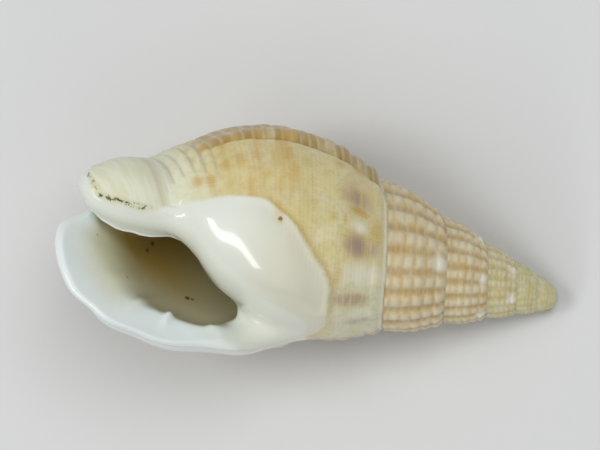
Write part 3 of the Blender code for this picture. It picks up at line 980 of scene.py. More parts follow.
    def place_lip_end(self, points: Array, first_row: int) -> Array:
        """Draw the lip's end out to the canal notch, over the columns behind it.

        Args:
            points: Wall points of the base columns, columns first.
            first_row: Row at which the lip leaves the regular wall.

        Returns:
            The moved points. Each row moves as its own point on the lip does, fading with turns,
            and what would stand out past the notch as seen from the front is drawn back to it.
        """
        moved = points.copy()
        edge = points[0, first_row:]
        path = [(edge[0, 2], edge[0, 0], edge[0, 1])] + list(self.lip.end)
        shares = 0.5 * length_shares(edge) + 0.5 * np.linspace(0.0, 1.0, len(edge))
        target = curve_at(path, shares)[:, (1, 2, 0)]
        turn = np.arange(len(points)) / self.columns
        fade = 1.0 - smooth_step(0.0, 0.26, turn)
        moved[:, first_row:-1] += (target - edge)[None, :-1] * fade[:, None, None]
        seen = self.callus.front(moved)
        right, left = self.lip.notch_slopes
        sideways = seen[..., 1] - self.lip.notch[1]
        limit = self.lip.notch[0] + np.maximum(right * sideways, left * sideways)
        over = smooth_larger(seen[..., 0] - limit, np.zeros_like(limit), 0.12)
        over[:, :first_row] = 0.0
        over = over * (smooth_step(0.0, 0.03, turn) * smooth_step(0.52, 0.44, turn))[:, None]
        moved[:, :-1, 2] -= over[:, :-1]
        return moved

    def hollow_ring(self, depth: float, outer_share: Array, inner_share: Array) -> Array:
        """One loop of the hollow, the space between two whorl walls with rounded corners.

        Args:
            depth: Turns behind the lip.
            outer_share: Shares down the outer side for each vertex.
            inner_share: Shares down the inner side for each vertex.

        Returns:
            Points of the loop in shell coordinates.
        """
        size = float(self.coil.size(depth))
        top, bottom = (self.coil.suture + self.hollow_top) * size, self.hollow_bottom * size

        def side(share: Array, sign: float) -> Array:
            """One side of the loop, half the gap away from its middle line.

            Args:
                share: Shares down the side.
                sign: 1 for the outer side, -1 for the inner one.

            Returns:
                Points in shell coordinates. The gap closes at both ends as the fifth root of
                1 less the fifth power of the way from the middle.
            """
            eased = 0.5 - 0.5 * np.cos(math.pi * share)
            distance = top + (bottom - top) * eased
            outer = self.coil.body_radius(np.full_like(distance, depth), distance) - self.wall * size
            inner = self.coil.body_radius(np.full_like(distance, depth + 1.0), distance)
            inner = smooth_larger(inner, np.full_like(distance, 1.25 * size), 0.3 * size)
            closing = (1.0 - np.abs(2.0 * eased - 1.0) ** 5) ** 0.2
            half = 0.5 * np.maximum(outer - inner, 0.2 * size) * closing
            return self.coil.point(depth, distance, 0.5 * (outer + inner) + sign * half)

        return np.concatenate((side(outer_share, 1.0), side(inner_share, -1.0)))

    def lip_rings(self, edge: Array, outer_share: Array, inner_share: Array) -> list[Array]:
        """Loops over the lip from the outside edge to the rim of the hollow.

        Args:
            edge: Loop of the outside edge, down the outer lip and back up the inner one.
            outer_share: Length shares of the outer lip's vertices.
            inner_share: Shares down the inner lip's vertices. Not used.

        Returns:
            The loops in order. On the outer lip each is a mix of edge and rim pushed to the
            front; on the inner lip it follows the wall round into the aperture.
        """
        outer_count = len(outer_share)
        rim = curve_at(self.lip.rim, outer_share)[:, (1, 2, 0)]
        crest = self.lip.crest_share(outer_share)
        swell = smooth_step(1.0, 0.88, outer_share)
        start = edge[outer_count:, 2]
        share = (start - self.coil.suture) / (self.coil.canal_end - self.coil.suture)
        end = self.lip.rim_top + (self.lip.rim_bottom - self.lip.rim_top) * share
        near_top, near_end = smooth_step(0.09, 0.0, share), smooth_step(0.85, 1.0, share)[:, None]
        loops = []
        for number, (crest_part, beyond, push) in enumerate(self.lip.profile):
            weight = crest * crest_part + (1.0 - crest) * beyond
            ring = edge.copy()
            ring[:outer_count] += weight[:, None] * (rim - edge[:outer_count])
            ring[:outer_count, 1] -= push * swell
            even = (number + 1.0) / len(self.lip.profile)
            inward = even + near_top * (weight[0] - even)
            distance = start + inward * (end - start)
            turn = np.full_like(distance, 1.0)
            thick = self.callus.thickness * (1.0 - 0.5 * inward) * smooth_step(31.45, 29.6, distance)
            radius = self.coil.wall_radius(turn, distance) + thick
            turn = turn + 0.04 * inward
            inner = self.coil.point(turn, distance, radius) + self.callus.pad(turn, distance)
            ring[outer_count:] = inner + near_end * (ring[outer_count - 1] - inner)
            loops.append(ring)
        return loops

    def mouth_ring(self, rim: Array, depth: float) -> Array:
        """One loop of the mouth: the rim of the hollow carried back along the spiral.

        Args:
            rim: The rim's loop.
            depth: Turns behind the lip.

        Returns:
            The rim turned around the axis by the depth and shrunk as the spiral shrinks.
        """
        angle, size = TURN * depth, float(self.coil.size(depth))
        turned = np.stack((
            rim[:, 0] * math.cos(angle) - rim[:, 1] * math.sin(angle),
            rim[:, 0] * math.sin(angle) + rim[:, 1] * math.cos(angle),
            rim[:, 2],
        ), axis=-1)
        return turned * size

    def round_rim(self, surface: Surface, loops: list[Array], outer_count: int) -> None:
        """Round off the rim of the hollow with averages of neighbouring loops, most at the canal.

        Args:
            surface: Surface whose last blocks of points are the loops.
            loops: Vertex numbers of the loops, one block each.
            outer_count: Number of vertices on the outer lip.
        """
        stack = np.stack(surface.points[-len(loops):])
        rim = len(self.lip.profile) - 1
        number = np.arange(len(loops))
        reach = np.exp(-((number - rim) / 6.0) ** 4)
        share = 0.25 + 0.75 * smooth_step(25.0, 27.5, stack[rim, :outer_count, 2])
        weight = (reach[1:-1, None] * share[None, :])[..., None]
        for _ in range(24):
            part = stack[:, :outer_count]
            mean = 0.25 * part[:-2] + 0.5 * part[1:-1] + 0.25 * part[2:]
            part[1:-1] += weight * (mean - part[1:-1])
        surface.points[-len(loops):] = list(stack)

    def build(self) -> bpy.types.Object:
        """Build the whole surface as one object, from the walls to the hollow.

        Returns:
            The object, not yet dressed.
        """
        surface = Surface(self.names)
        count, rows = self.columns, self.whorl_rows
        last = rows + self.base_rows + self.canal_rows
        spire = int(self.turns * count)
        points, places, values = self.outside(np.arange(spire + 1) / count, slice(0, rows + 1))
        base_points, base_places, base_values = self.outside(
            np.arange(count + 1) / count, slice(rows + 1, last)
        )
        column = np.concatenate((points[: count + 1], base_points), axis=1)
        tip = np.array(self.tip)
        drawn_in = smooth_step(self.tip_start, self.tip[2], column[..., 2:])
        column += drawn_in * tip * (1.0, 1.0, 0.0)
        column = np.concatenate((column, np.broadcast_to(tip, (count + 1, 1, 3))), axis=1)
        column = self.place_lip_end(column, rows + round(0.778 * self.base_rows))
        points[: count + 1] = column[:, : rows + 1]
        base_points = column[:, rows + 1:last]

        # A row at a lower suture is the upper suture of the next whorl
        upper_values = {name: value[:, :rows] for name, value in values.items()}
        lower_values = {name: value[:count, rows:] for name, value in values.items()}
        whorl = surface.add(points[:, :rows], **upper_values)
        lower = surface.add(points[:count, rows:], **lower_values)
        suture = np.concatenate((lower[:, 0], whorl[: spire + 1 - count, 0]))
        grid = np.concatenate((whorl, suture[:, None]), axis=1)
        surface.sheet(grid, places)
        base = surface.add(base_points, **base_values)
        base = np.concatenate((grid[: count + 1, rows:], base), axis=1)
        base_places = np.concatenate((places[: count + 1, rows:], base_places), axis=1)
        surface.sheet(base, base_places)
        tip_at = int(surface.add(tip[None, :], callus=2.0, depth=self.bare_depth)[0])
        surface.triangles.append(np.stack((
            base[:-1, -1], np.full(count, tip_at), base[1:, -1]
        ), axis=-1))

        self.close_apex(surface, grid)
        self.close_aperture(surface, grid, base, tip_at)
        self.smooth_places(surface)
        mesh = surface.mesh("shell_surface", self.resting)
        shell = bpy.data.objects.new("shell_surface", mesh)
        bpy.context.scene.collection.objects.link(shell)
        return shell

    def smooth_places(self, surface: Surface) -> None:
        """Even out the back corner of the aperture, the crown of the shield and the canal's tip.

        Args:
            surface: The finished surface.
        """
        every = np.concatenate(surface.points)
        facing = smooth_step(0.0, -1.0, every[:, 1])
        corner = smooth_step(2.3, 1.0, self.away_from(every, self.lip.corner)) * facing
        crown = smooth_step(2.4, 1.2, self.away_from(every, self.callus.crown)) * facing
        surface.relax(corner, (400, 500))
        surface.relax(crown, (40, 500))
        away = np.linalg.norm(np.concatenate(surface.points) - np.array(self.tip), axis=1)
        surface.relax(smooth_step(1.3, 0.2, away), (30, 0))

    def close_apex(self, surface: Surface, grid: Array) -> None:
        """Cap the first whorls with a low dome, as the very tip is worn away.

        Args:
            surface: Surface to add to.
            grid: Vertex numbers of the whorls, columns first.
        """
        edge = np.concatenate((grid[-1 - self.columns:, 0], grid[-1, 1:-1]))
        every = np.concatenate(surface.points)
        rim = every[edge]
        steps = np.linspace(0.0, 0.5 * math.pi, 9)[1:-1, None]
        shrink, rise = np.cos(steps), 1.0 - np.sin(steps)
        domes = np.stack((
            rim[None, :, 0] * shrink, rim[None, :, 1] * shrink,
            self.apex + (rim[None, :, 2] - self.apex) * rise,
        ), axis=-1)
        plain = {
            "callus": -self.callus.reach, "depth": self.bare_depth, "age": self.turns,
            "height": 0.5, "rib": 0.5,
        }
        loops = surface.add(domes, **plain)
        top = int(surface.add(np.array(((0.0, 0.0, self.apex),)), **plain)[0])
        surface.rings(np.concatenate((edge[None, :], loops))[:, ::-1])
        surface.fan(loops[-1][::-1], top)

    def tooth_offset(self, ring: Array, outer_count: int, share: float, fold: float) -> Array:
        """How far the teeth and folds raise a loop of the lip.

        Args:
            ring: Points of the loop.
            outer_count: Number of vertices on the outer lip, which has the teeth.
            share: Share of the height of the teeth.
            fold: Share of the height of the folds on the inner lip.

        Returns:
            Offsets to be taken from the points.
        """
        seen = self.callus.front(ring)
        height = self.lip.tooth_height(seen) * float(smooth_step(0.1, 0.6, share))
        height[outer_count:] = -self.lip.fold_height(seen[outer_count:, 0]) * fold
        return height[:, None] * np.array(self.lip.raised)

    def close_aperture(self, surface: Surface, grid: Array, base: Array, tip_at: int) -> None:
        """Add the lip and the hollow that runs back from it.

        Args:
            surface: Surface to add to.
            grid: Vertex numbers of the whorls, columns first.
            base: Vertex numbers of the base, columns first.
            tip_at: Vertex number of the canal's tip.
        """
        outer = np.concatenate((grid[0, :-1], base[0], [tip_at]))
        inner = base[-1, :0:-1]
        edge = np.concatenate((outer, inner))
        every = np.concatenate(surface.points)
        outer_share = length_shares(every[outer])
        line = np.concatenate(([tip_at], inner, base[-1, :1]))
        inner_share = 1.0 - length_shares(every[line])[1:-1]
        rings = self.lip_rings(every[edge], outer_share, inner_share)
        white = {"callus": self.callus.reach, "lip": 1.0}
        loops = [edge]
        for number, ring in enumerate(rings):
            toothed = ring - self.tooth_offset(ring, len(outer), number / (len(rings) - 1.0), 1.0)
            part = number / len(rings)
            depth = 0.08 * (part - 1.0) + part * self.early_depth(ring)
            loops.append(surface.add(toothed, **white, depth=depth))
        for depth in np.concatenate((
            np.arange(0.012, 0.12, 0.018), np.arange(0.14, 0.5, 0.03),
            np.arange(0.5, self.hollow_end, 0.06),
        )).tolist():
            mouth = self.mouth_ring(rings[-1], depth)
            fade = max(0.0, 1.0 - depth / 0.04)
            mouth = mouth - self.tooth_offset(mouth, len(outer), fade, fade)
            hollow = self.hollow_ring(depth, outer_share, inner_share)
            ring = mouth + float(smooth_step(0.04, 0.34, depth)) * (hollow - mouth)
            loops.append(surface.add(ring, **white, depth=depth + self.early_depth(ring)))
        surface.rings(np.stack(loops))
        self.round_rim(surface, loops[1:], len(outer))
        end = surface.add(ring.mean(axis=0)[None, :], **white, depth=self.hollow_end)
        surface.fan(loops[-1], int(end[0]))

    @staticmethod
    def early_depth(ring: Array) -> Array:
        """Depth added by the canal, where the hollow's olive and painted shade start earlier."""
        return 0.06 * smooth_step(25.0, 28.5, ring[:, 2])


Number = Union["Term", float]


@dataclass
class Term:
    """One socket of a material, with operators that add Math nodes."""

    recipe: "Recipe"
    socket: bpy.types.NodeSocket

    def _math(self, operation: str, *others: Number, flip: bool = False) -> "Term":
        """Add a Math node.

        Args:
            operation: Name of the operation.
            others: Terms or numbers that follow this socket.
            flip: Whether the order is turned round.

        Returns:
            The result as a term.
        """
        values = [self, *others]
        if flip:
            values.reverse()
        return self.recipe.node("ShaderNodeMath", {"operation": operation}, dict(enumerate(values)))

    def __add__(self, other: Number) -> "Term":
        """Sum."""
        return self._math("ADD", other)

    __radd__ = __add__

    def __sub__(self, other: Number) -> "Term":
        """Difference."""
        return self._math("SUBTRACT", other)

    def __rsub__(self, other: Number) -> "Term":
        """Difference from a plain number."""
        return self._math("SUBTRACT", other, flip=True)

    def __mul__(self, other: Number) -> "Term":
        """Product."""
        return self._math("MULTIPLY", other)

    __rmul__ = __mul__

    def __pow__(self, other: Number) -> "Term":
        """Power."""
        return self._math("POWER", other)

    def cosine(self) -> "Term":
        """Cosine of a value in radians."""
        return self._math("COSINE")

    def larger(self, other: Number) -> "Term":
        """Larger of two values."""
        return self._math("MAXIMUM", other)

    def rise(self, low: float, high: float) -> "Term":
        """Rise smoothly from 0 at low to 1 at high, or fall where low is the larger.

        Args:
            low: Value at which the rise starts.
            high: Value at which the rise ends.

        Returns:
            Shares from 0 to 1.
        """
        if low > high:
            return 1.0 - self.rise(high, low)
        settings = {"interpolation_type": "SMOOTHSTEP"}
        inputs = {"Value": self, "From Min": low, "From Max": high}
        return self.recipe.node("ShaderNodeMapRange", settings, inputs, "Result")


@dataclass
class Recipe:
    """Node tree of one material."""

    name: str

    def __post_init__(self) -> None:
        """Start the material with a shader and its output."""
        self.material = bpy.data.materials.new(self.name)
        self.material.use_nodes = True
        self.tree = self.material.node_tree
        self.shader = self.tree.nodes["Principled BSDF"]

    def put(self, socket: bpy.types.NodeSocket, value: Any) -> None:
        """Link a term to a socket, or set the socket to a plain value.

        Args:
            socket: Input of a node.
            value: Term, number, colour or vector.
        """
        if isinstance(value, Term):
            self.tree.links.new(value.socket, socket)
        else:
            socket.default_value = value

    def node(
        self, kind: str, settings: dict[str, Any], inputs: dict[Any, Any], output: Any = 0
    ) -> Term:
        """Add a node of any type.

        Args:
            kind: Type name of the node.
            settings: Properties, which are set first.
            inputs: Values or terms for its sockets, by name or number.
            output: Name or number of the wanted output.

        Returns:
            The output as a term.
        """
        made = self.tree.nodes.new(kind)
        for key, value in settings.items():
            setattr(made, key, value)
        for key, value in inputs.items():
            self.put(made.inputs[key], value)
        return Term(self, made.outputs[output])

    def value(self, name: str) -> Term:
        """A named value of the surface."""
        return self.node("ShaderNodeAttribute", {"attribute_name": name}, {}, "Fac")

    def mix(self, share: Number, first: Any, second: Any) -> Term:
        """Mix two colours, by a share of the second."""
        inputs = {0: share, 6: first, 7: second}
        return self.node("ShaderNodeMix", {"data_type": "RGBA"}, inputs, 2)

    def part(self, vector: Term, axis: int) -> Term:
        """One coordinate of a vector."""
        return self.node("ShaderNodeSeparateXYZ", {}, {0: vector}, axis)

    def noise(self, vector: Term, scale: float, detail: float = 2.0, rough: float = 0.5) -> Term:
        """Make a cloudy noise.

        Args:
            vector: Coordinates that it follows.
            scale: Cells a unit of the vector.
            detail: Number of finer layers.
            rough: Strength of each layer beside the last.

        Returns:
            Values between 0 and 1.
        """
        inputs = {"Vector": vector, "Scale": scale, "Detail": detail, "Roughness": rough}
        return self.node("ShaderNodeTexNoise", {}, inputs, "Fac")

    def stretch(self, vector: Term, scale: tuple[float, float, float]) -> Term:
        """Scale a vector by its own factor on each axis."""
        return self.node("ShaderNodeVectorMath", {"operation": "MULTIPLY"}, {0: vector, 1: scale})

    def finish(self, **inputs: Any) -> bpy.types.Material:
        """Set the shader's sockets, spaces in their names written as underscores.

        Args:
            inputs: Values or terms by socket name.

        Returns:
            The finished material.
        """
        for key, value in inputs.items():
            self.put(self.shader.inputs[key.replace("_", " ")], value)
        return self.material


Colour = tuple[float, float, float, float]


def tint(red: float, green: float, blue: float) -> Colour:
    """Linear colour of display values from 0 to 255."""
    return tuple((value / 255.0) ** 2.2 for value in (red, green, blue)) + (1.0,)


@dataclass
class Paint:
    """Colour built up in layers, with the terms that its finish works from."""

    recipe: Recipe
    colour: Any
    at: dict[str, Term] = field(default_factory=dict)
    noise: dict[str, Term] = field(default_factory=dict)

    def lay(self, share: Number, colour: Any) -> None:
        """Lay a colour over what is there, by a share of its strength."""
        self.colour = self.recipe.mix(share, self.colour, colour)


@dataclass(frozen=True)
class Spot:
    """Small round spot: place in millimetres in the frame, radius and strength."""

    place: tuple[float, float, float]
    radius: float
    strength: float


@dataclass(frozen=True)
class ShellFinish:
    """Cream and tan outside with golden netting, under a glossy white callus and lip.

    The paint that its methods share has two sets of terms: at, which holds the named values of the
    surface and what follows from them, and noise, which holds noises and line patterns.
    """

    cream: Colour = tint(214, 202, 146)
    pale_cream: Colour = tint(212, 212, 178)
    tan: Colour = tint(206, 186, 140)
    band: Colour = tint(164, 130, 62)
    tip: Colour = tint(198, 194, 144)
    gold: Colour = tint(194, 150, 54)
    brown: Colour = tint(162, 128, 74)
    lilac: Colour = tint(156, 128, 118)
    chalk: Colour = tint(232, 228, 206)
    white: Colour = tint(224, 227, 214)
    warm_white: Colour = tint(214, 211, 188)
    cold_white: Colour = tint(226, 234, 230)
    ivory: Colour = tint(222, 222, 198)
    # Colours of the hollow: partly the inside's own olive, partly painted shade
    olive_and_shade: Colour = tint(178, 150, 80)
    grey_olive_and_shade: Colour = tint(212, 206, 164)
    dirt: Colour = tint(52, 42, 18)
    rust: Colour = tint(122, 74, 20)
    bump_strength: float = 0.35
    bump_height: float = 0.06 * MM
    coat_roughness: float = 0.05

    # Rusty spots in the hollow and on the shield, and fainter ones round the aperture
    spots: tuple[Spot, ...] = (
        Spot((-9.88, -1.45, 4.69), 0.17, 0.95), Spot((-9.94, -1.88, 5.29), 0.17, 0.80),
        Spot((-7.00, -4.13, 4.80), 0.19, 0.95), Spot((-6.70, -4.14, 4.66), 0.15, 0.80),
        Spot((-0.42, 2.00, 12.21), 0.17, 0.80), Spot((-9.61, -3.56, 9.49), 0.12, 0.40),
        Spot((-6.68, -0.53, 9.93), 0.10, 0.50), Spot((-11.88, -1.50, 9.90), 0.10, 0.40),
    )

    @staticmethod
    def values(recipe: Recipe, place: Term) -> dict[str, Term]:
        """Gather what tells the places of the surface apart.

        Args:
            recipe: Material to add to.
            place: Object coordinates.

        Returns:
            The surface's named values, and what several coats share: the shares of spire, last
            whorl, pale ground, cover, gloss and bare shell, the turns since growth paused, and the
            distance along the shell in millimetres.
        """
        at = {name: recipe.value(name) for name in Shell.names}
        at["place"] = place
        at["along"] = recipe.part(place, 0) * (1.0 / MM)
        at["spire"] = at["age"].rise(0.98, 1.04)
        at["last_whorl"] = 1.0 - at["spire"]
        at["since"] = Netting().since_break(at["age"], at["height"])
        # The shield's far side is paler
        at["pale"] = at["age"].rise(0.81, 0.90) * at["last_whorl"]
        at["cover"] = at["callus"].rise(-0.05, 0.28)
        at["gloss"] = at["cover"].larger(at["lip"])
        at["bare"] = 1.0 - at["gloss"]
        return at

    @staticmethod
    def patterns(recipe: Recipe, place: Term) -> dict[str, Term]:
        """Make the noises and line patterns.

        Args:
            recipe: Material to add to.
            place: Object coordinates.

        Returns:
            Noises in space, noises stretched along the cords and across them, and raised cosines
            at the grooves between cords, at fine lines beside them and at pits along them.
        """
        netting = recipe.node("ShaderNodeUVMap", {"uv_map": "netting"}, {})
        turn, cords = recipe.part(netting, 0), recipe.part(netting, 1)

        def stretched(turns: float, cord_scale: float, rough: float = 0.5) -> Term:
            """Noise with its own scale around the shell and across the cords."""
            return recipe.noise(recipe.stretch(netting, (turns, cord_scale, 1.0)), 1.0, 2.0, rough)

        def lines(count: Term, density: float, power: float) -> Term:
            """Lines at the half counts: a raised cosine to a power."""
            return (0.5 - 0.5 * (count * (density * TURN)).cosine()) ** power

        return {
            "cloud": recipe.noise(place, 900.0, 3.0),
            "mottle": recipe.noise(place, 2100.0, 3.0, 0.7),
            "grain": recipe.noise(place, 5200.0),
            "patches": recipe.noise(place, 900.0),
            "specks": recipe.noise(place, 3400.0, 3.0, 0.65),
            "runs": stretched(7.0, 1.3, 0.6),
            "streaks": stretched(90.0, 0.55),
            "blotch": stretched(11.0, 0.5, 0.6),
            "groove": lines(cords, 1.0, 4.0),
            "fine": lines(cords, 1.9, 3.0),
            "pits": lines(turn, 160.0, 2.0),
        }

    def paint_spire(self, paint: Paint) -> None:
        """Paint the ground of all whorls, and brown between the ribs of the spire.

        Args:
            paint: Layers to add to.
        """
        at, noise = paint.at, paint.noise
        age, height, rib, spire = at["age"], at["height"], at["rib"], at["spire"]
        paint.lay(spire, self.tan)
        paint.lay(age.rise(2.6, 4.6), self.tip)
        neck = height.rise(1.75, 2.2) * at["last_whorl"]
        paint.lay(at["pale"].larger(neck) * 0.8, self.pale_cream)
        paint.lay(0.30 * noise["cloud"].rise(0.35, 0.75), self.chalk)
        paint.lay(0.18 * noise["mottle"].rise(0.45, 0.65), self.brown)
        between = (1.0 - rib).rise(0.45, 1.0) * (0.35 + 0.65 * noise["runs"].rise(0.35, 0.62))
        paint.lay(0.55 * spire * between * age.rise(4.4, 2.6), self.brown)
        paint.lay(0.40 * spire * noise["blotch"].rise(0.46, 0.68), self.gold)
        beads = rib.rise(0.4, 0.9) * (1.0 - at["broad"]) * spire * age.rise(4.4, 3.4)
        paint.lay(0.34 * beads, self.chalk)

    def paint_last_whorl(self, paint: Paint) -> None:
        """Paint golden clouds and dotted lines on the front, tan on the back, and painted shade where
        growth paused.

        Args:
            paint: Layers to add to.
        """
        at, noise = paint.at, paint.noise
        age, height, since, last_whorl = at["age"], at["height"], at["since"], at["last_whorl"]
        golden = height.rise(1.95, 1.55) * height.rise(0.6, 1.2) * age.rise(0.84, 0.74)
        golden = (0.25 + 0.75 * noise["blotch"].rise(0.42, 0.64)) * golden * last_whorl
        paint.lay(0.46 * golden, self.gold)
        dotted = noise["fine"] * (0.3 + 0.7 * noise["pits"])
        dotted = dotted * (0.1 + 0.9 * noise["runs"].rise(0.46, 0.66))
        dotted = dotted * since.rise(0.0, 0.01) * height.rise(1.9, 1.5) * height.rise(0.30, 0.60)
        paint.lay(0.40 * dotted * last_whorl * (1.0 - 0.7 * at["pale"]), self.gold)
        back = since.rise(0.0, -0.004) * height.rise(2.1, 1.7)
        paint.lay(back * (0.42 + 0.50 * noise["blotch"].rise(0.35, 0.6)), self.band)
        paint.lay(0.35 * back * noise["groove"], self.pale_cream)
        # Painted shade: a dark brown line in the groove where growth paused.
        shade = since.rise(-0.010, -0.003) * since.rise(0.003, -0.001) * height.rise(1.9, 1.6)
        paint.lay(0.60 * shade * height.rise(0.05, 0.25), self.brown)

    def paint_marks(self, paint: Paint) -> None:
        """Paint the marks (one a painted highlight), the suture threads, the neck, and painted shade and
        stain by the canal ridge.

        Args:
            paint: Layers to add to.
        """
        at, noise = paint.at, paint.noise
        age, height = at["age"], at["height"]
        paint.lay(at["brown"] * (0.72 + 0.28 * noise["pits"]), self.gold)
        mauve = at["lilac"] * (0.25 + 0.75 * noise["runs"].rise(0.30, 0.60))
        paint.lay(0.85 * mauve, self.lilac)
        # White marks; the one at turn 0.757 is a painted highlight.
        paint.lay(at["white"], self.chalk)
        thread = height.rise(0.0, 0.004) * height.rise(0.045, 0.02)
        paint.lay(thread * (0.25 + 0.6 * (1.0 - age.rise(1.05, 1.15))), self.chalk)
        paint.lay(at["canal"] * 0.85, self.ivory)
        paint.lay(height.rise(1.85, 2.35) * 0.6, self.ivory)
        worn = height.rise(2.35, 2.55) * noise["runs"].rise(0.40, 0.62)
        paint.lay(0.30 * worn, self.tip)
        # Painted shade, with some stain, in the groove between the neck and the canal ridge.
        groove = height.rise(2.32, 2.42) * height.rise(2.50, 2.43) * at["last_whorl"]
        paint.lay(0.32 * groove * (0.4 + 0.6 * noise["cloud"]), self.brown)

    def paint_enamel(self, paint: Paint) -> None:
        """Paint the callus and the lip: white, warmer towards the spire, colder on the lip.

        Args:
            paint: Layers to add to.
        """
        at, noise = paint.at, paint.noise
        callus, lip, along = at["callus"], at["lip"], at["along"]
        warm = along.rise(-4.0, 1.0)
        enamel = Paint(paint.recipe, self.white)
        enamel.lay(warm * (1.0 - 0.6 * lip), self.warm_white)
        enamel.lay(lip * along.rise(-1.0, -5.0), self.cold_white)
        trough = callus.rise(-0.50, -0.12) * callus.rise(0.06, -0.04) * at["height"].rise(1.5, 1.3)
        paint.lay(0.26 * trough, self.gold)
        paint.lay(at["cover"], enamel.colour)
        paint.lay(lip, enamel.colour)
        edge = at["cover"] * callus.rise(1.3, 0.3) * (1.0 - lip)
        paint.lay(0.6 * at["brown"] * edge, self.gold)
        paint.lay(0.08 * noise["fine"] * warm * edge, self.gold)

    def paint_hollow(self, paint: Paint) -> None:
        """Paint the hollow behind the white shelf grey olive and olive, partly its own colour and partly
        painted shade, and the small spots.

        Args:
            paint: Layers to add to.
        """
        at = paint.at
        # Grey olive at the rim and olive deeper in: partly the inside's colour, partly painted shade.
        hollow = paint.recipe.mix(at["along"].rise(-9.5, -5.0), self.olive_and_shade, self.grey_olive_and_shade)
        paint.lay(at["depth"].rise(-0.03, 0.05) * 0.8, self.grey_olive_and_shade)
        paint.lay(at["depth"].rise(0.05, 0.20), hollow)
        for spot in self.spots:
            middle = tuple(part * MM for part in spot.place)
            inputs = {0: at["place"], 1: middle}
            away = paint.recipe.node(
                "ShaderNodeVectorMath", {"operation": "DISTANCE"}, inputs, "Value"
            )
            away = away * (1.0 / MM) + 0.16 * paint.noise["grain"]
            inside = away.rise(spot.radius + 0.10, 0.5 * spot.radius + 0.08)
            paint.lay(spot.strength * inside, self.rust)

    def paint_dirt(self, paint: Paint) -> None:
        """Paint the dirt along the seam between callus and canal ridge.

        Args:
            paint: Layers to add to.
        """
        at, noise = paint.at, paint.noise
        seam = at["seam"]
        paint.lay(seam.rise(0.0, 0.6) * 0.35, self.tip)
        line = seam.rise(0.90, 0.98) * noise["patches"].rise(0.38, 0.50)
        line = line * noise["grain"].rise(0.36, 0.50)
        specks = seam.rise(0.35, 0.9) * noise["specks"].rise(0.50, 0.60)
        paint.lay(0.9 * line.larger(specks), self.dirt)

    @staticmethod
    def relief(paint: Paint) -> Term:
        """Fine relief that is too small for the mesh.

        Args:
            paint: Paint whose terms it uses.

        Returns:
            Heights for the bump: grain everywhere, growth streaks on the bare shell, lines on the
            front of the last whorl, grooves on its back and neck, and bumps on the canal ridge.
        """
        at, noise = paint.at, paint.noise
        age, height, bare = at["age"], at["height"], at["bare"]
        neck = height.rise(1.5, 1.8) * height.rise(2.5, 2.35)
        relief = (0.25 + 0.35 * bare) * noise["grain"] + 0.5 * noise["streaks"] * bare
        front = height.rise(1.8, 1.5) * age.rise(1.02, 0.98) * (0.4 + 0.6 * noise["pits"])
        back = age.rise(0.62, 0.60) * height.rise(1.9, 1.6)
        lines = 0.35 * front * noise["fine"] + 0.9 * neck.larger(back) * noise["groove"]
        ridge = height.rise(2.35, 2.55) * bare
        return relief - lines * bare + 0.9 * ridge * noise["runs"] + 0.5 * ridge * noise["cloud"]

    def make(self) -> bpy.types.Material:
        """Build the material.

        Returns:
            One material for the whole surface, told apart by the surface's own values.
        """
        recipe = Recipe("whelk_shell")
        place = recipe.node("ShaderNodeTexCoord", {}, {}, "Object")
        paint = Paint(recipe, self.cream, self.values(recipe, place), self.patterns(recipe, place))
        for coat in (
            self.paint_spire, self.paint_last_whorl, self.paint_marks,
            self.paint_enamel, self.paint_hollow, self.paint_dirt,
        ):
            coat(paint)
        bump = {
            "Strength": self.bump_strength, "Distance": self.bump_height,
            "Height": self.relief(paint),
        }
        gloss = paint.at["gloss"]
        return recipe.finish(
            Base_Color=paint.colour,
            Roughness=0.38 - 0.20 * gloss + 0.08 * paint.noise["cloud"] * paint.at["bare"],
            Coat_Weight=0.45 + 0.4 * gloss,
            Coat_Roughness=self.coat_roughness,
            Normal=recipe.node("ShaderNodeBump", {}, bump, "Normal"),
        )


@dataclass(frozen=True)
class FloorFinish:
    """Plain pale matt paper."""

    colour: Colour = tint(214, 214, 212)
    fibre: Colour = tint(190, 190, 188)

    def make(self) -> bpy.types.Material:
        """Build the material.

        Returns:
            Paper with a faint cloudy fibre.
        """
        recipe = Recipe("pale_paper")
        place = recipe.node("ShaderNodeTexCoord", {}, {}, "Object")
        fibre = recipe.noise(place, 900.0)
        colour = recipe.mix(0.04 * fibre, self.colour, self.fibre)
        return recipe.finish(Base_Color=colour, Roughness=0.9)


class Lamp(Enum):
    """Soft lights: place and two sides in metres, power in watts, and degrees about its own axis."""

    KEY = ((-0.22, -0.01, 0.34), 0.16, 0.16, 0.44, 0.0)
    FRONT = ((0.10, 0.12, 0.37), 0.20, 0.20, 0.56, 0.0)
    STRIP = ((-0.221, -0.157, 0.237), 0.29, 0.05, 0.22, -13.9)
    FILL = ((0.22, -0.22, 0.26), 0.30, 0.30, 0.18, 0.0)

    def hang(self, aim: Vector) -> None:
        """Hang the light so that it faces a point. Only the strip shows in the shell's gloss.

        Args:
            aim: Point that it faces.
        """
        place, along, across, power, twist = self.value
        light = bpy.data.lights.new(self.name.lower(), "AREA")
        light.shape = "RECTANGLE"
        light.size, light.size_y, light.energy = along, across, power
        holder = bpy.data.objects.new(self.name.lower(), light)
        turn = (Vector(place) - aim).to_track_quat("Z", "Y").to_matrix()
        turn = turn @ Matrix.Rotation(math.radians(twist), 3, "Z")
        holder.matrix_world = Matrix.Translation(place) @ turn.to_4x4()
        holder.visible_glossy = self is Lamp.STRIP
        bpy.context.scene.collection.objects.link(holder)


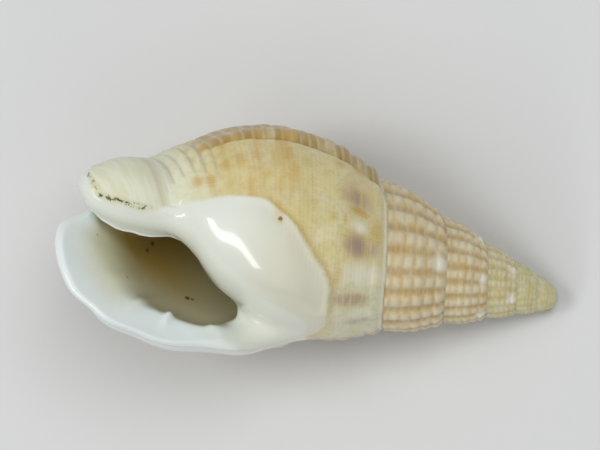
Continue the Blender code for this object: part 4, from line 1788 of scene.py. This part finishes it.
@dataclass
class Studio:
    """Floor, soft lights and the camera."""

    floor_side: float = 1.6
    aim: tuple[float, float, float] = (0.0, 0.0, 0.006)
    room_colour: Colour = (0.9, 0.94, 1.0, 1.0)
    room_strength: float = 0.34
    # Camera: its own axes in the frame, its lens and film, and where it sees the spiral's pole
    back: tuple[float, float, float] = (0.25700, 0.02782, 0.96601)
    up: tuple[float, float, float] = (-0.21762, 0.97558, 0.02980)
    lens: float = 900.0
    film: float = 36.0
    view_width: float = 36.0 * MM
    pole_right: float = 284.0 * 0.06 * MM
    pole_below: float = 80.0 * 0.06 * MM

    def lay_floor(self) -> bpy.types.Object:
        """Lay the floor, a flat square sheet at height 0.

        Returns:
            The floor object.
        """
        steps = np.linspace(-0.5, 0.5, 9) * self.floor_side
        x, y = np.meshgrid(steps, steps, indexing="ij")
        points = np.stack((x, y, 0.0 * x), axis=-1).reshape(-1, 3)
        number = np.arange(x.size).reshape(x.shape)
        quads = np.stack((number[:-1, :-1], number[1:, :-1], number[1:, 1:], number[:-1, 1:]), axis=-1)
        mesh = bpy.data.meshes.new("floor")
        mesh.from_pydata(points.tolist(), [], quads.reshape(-1, 4).tolist())
        floor = bpy.data.objects.new("floor", mesh)
        floor.data.materials.append(FloorFinish().make())
        bpy.context.scene.collection.objects.link(floor)
        return floor

    def hang_lights(self) -> None:
        """Hang the soft lights and set the even light of the room."""
        for lamp in Lamp:
            lamp.hang(Vector(self.aim))
        world = bpy.data.worlds.new("room")
        world.use_nodes = True
        sky = world.node_tree.nodes["Background"].inputs
        sky["Color"].default_value = self.room_colour
        sky["Strength"].default_value = self.room_strength
        bpy.context.scene.world = world

    def place_camera(self, pole: Array) -> None:
        """Place the camera at the photograph's viewing angle, far away with a long lens.

        Args:
            pole: Where the pole of the spiral is, in metres.
        """
        camera = bpy.data.cameras.new("camera")
        camera.lens, camera.sensor_width = self.lens, self.film
        camera.clip_start, camera.clip_end = 0.01, 10.0
        back, up = np.array(self.back), np.array(self.up)
        right = np.cross(up, back)
        middle = pole - right * self.pole_right + up * self.pole_below
        place = middle + back * self.view_width / self.film * self.lens
        holder = bpy.data.objects.new("camera", camera)
        holder.matrix_world = Matrix((
            (right[0], up[0], back[0], place[0]), (right[1], up[1], back[1], place[1]),
            (right[2], up[2], back[2], place[2]), (0.0, 0.0, 0.0, 1.0),
        ))
        bpy.context.scene.collection.objects.link(holder)
        bpy.context.scene.camera = holder


def main() -> None:
    """Build the shell and its studio, and report each piece."""
    logging.basicConfig(level=logging.INFO, format="%(message)s")
    shell = Shell()
    piece = shell.build()
    piece.data.materials.append(ShellFinish().make())
    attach(piece, "root")
    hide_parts("shell")
    mesh = piece.data
    LOG.info("%s: %d vertices, %d faces", piece.name, len(mesh.vertices), len(mesh.polygons))
    studio = Studio()
    floor = studio.lay_floor()
    LOG.info("%s: %.1f m square", floor.name, studio.floor_side)
    studio.hang_lights()
    studio.place_camera(np.array(shell.resting.pole) * MM)
    bpy.context.scene.view_settings.view_transform = "Standard"


if __name__ == "__main__":
    main()
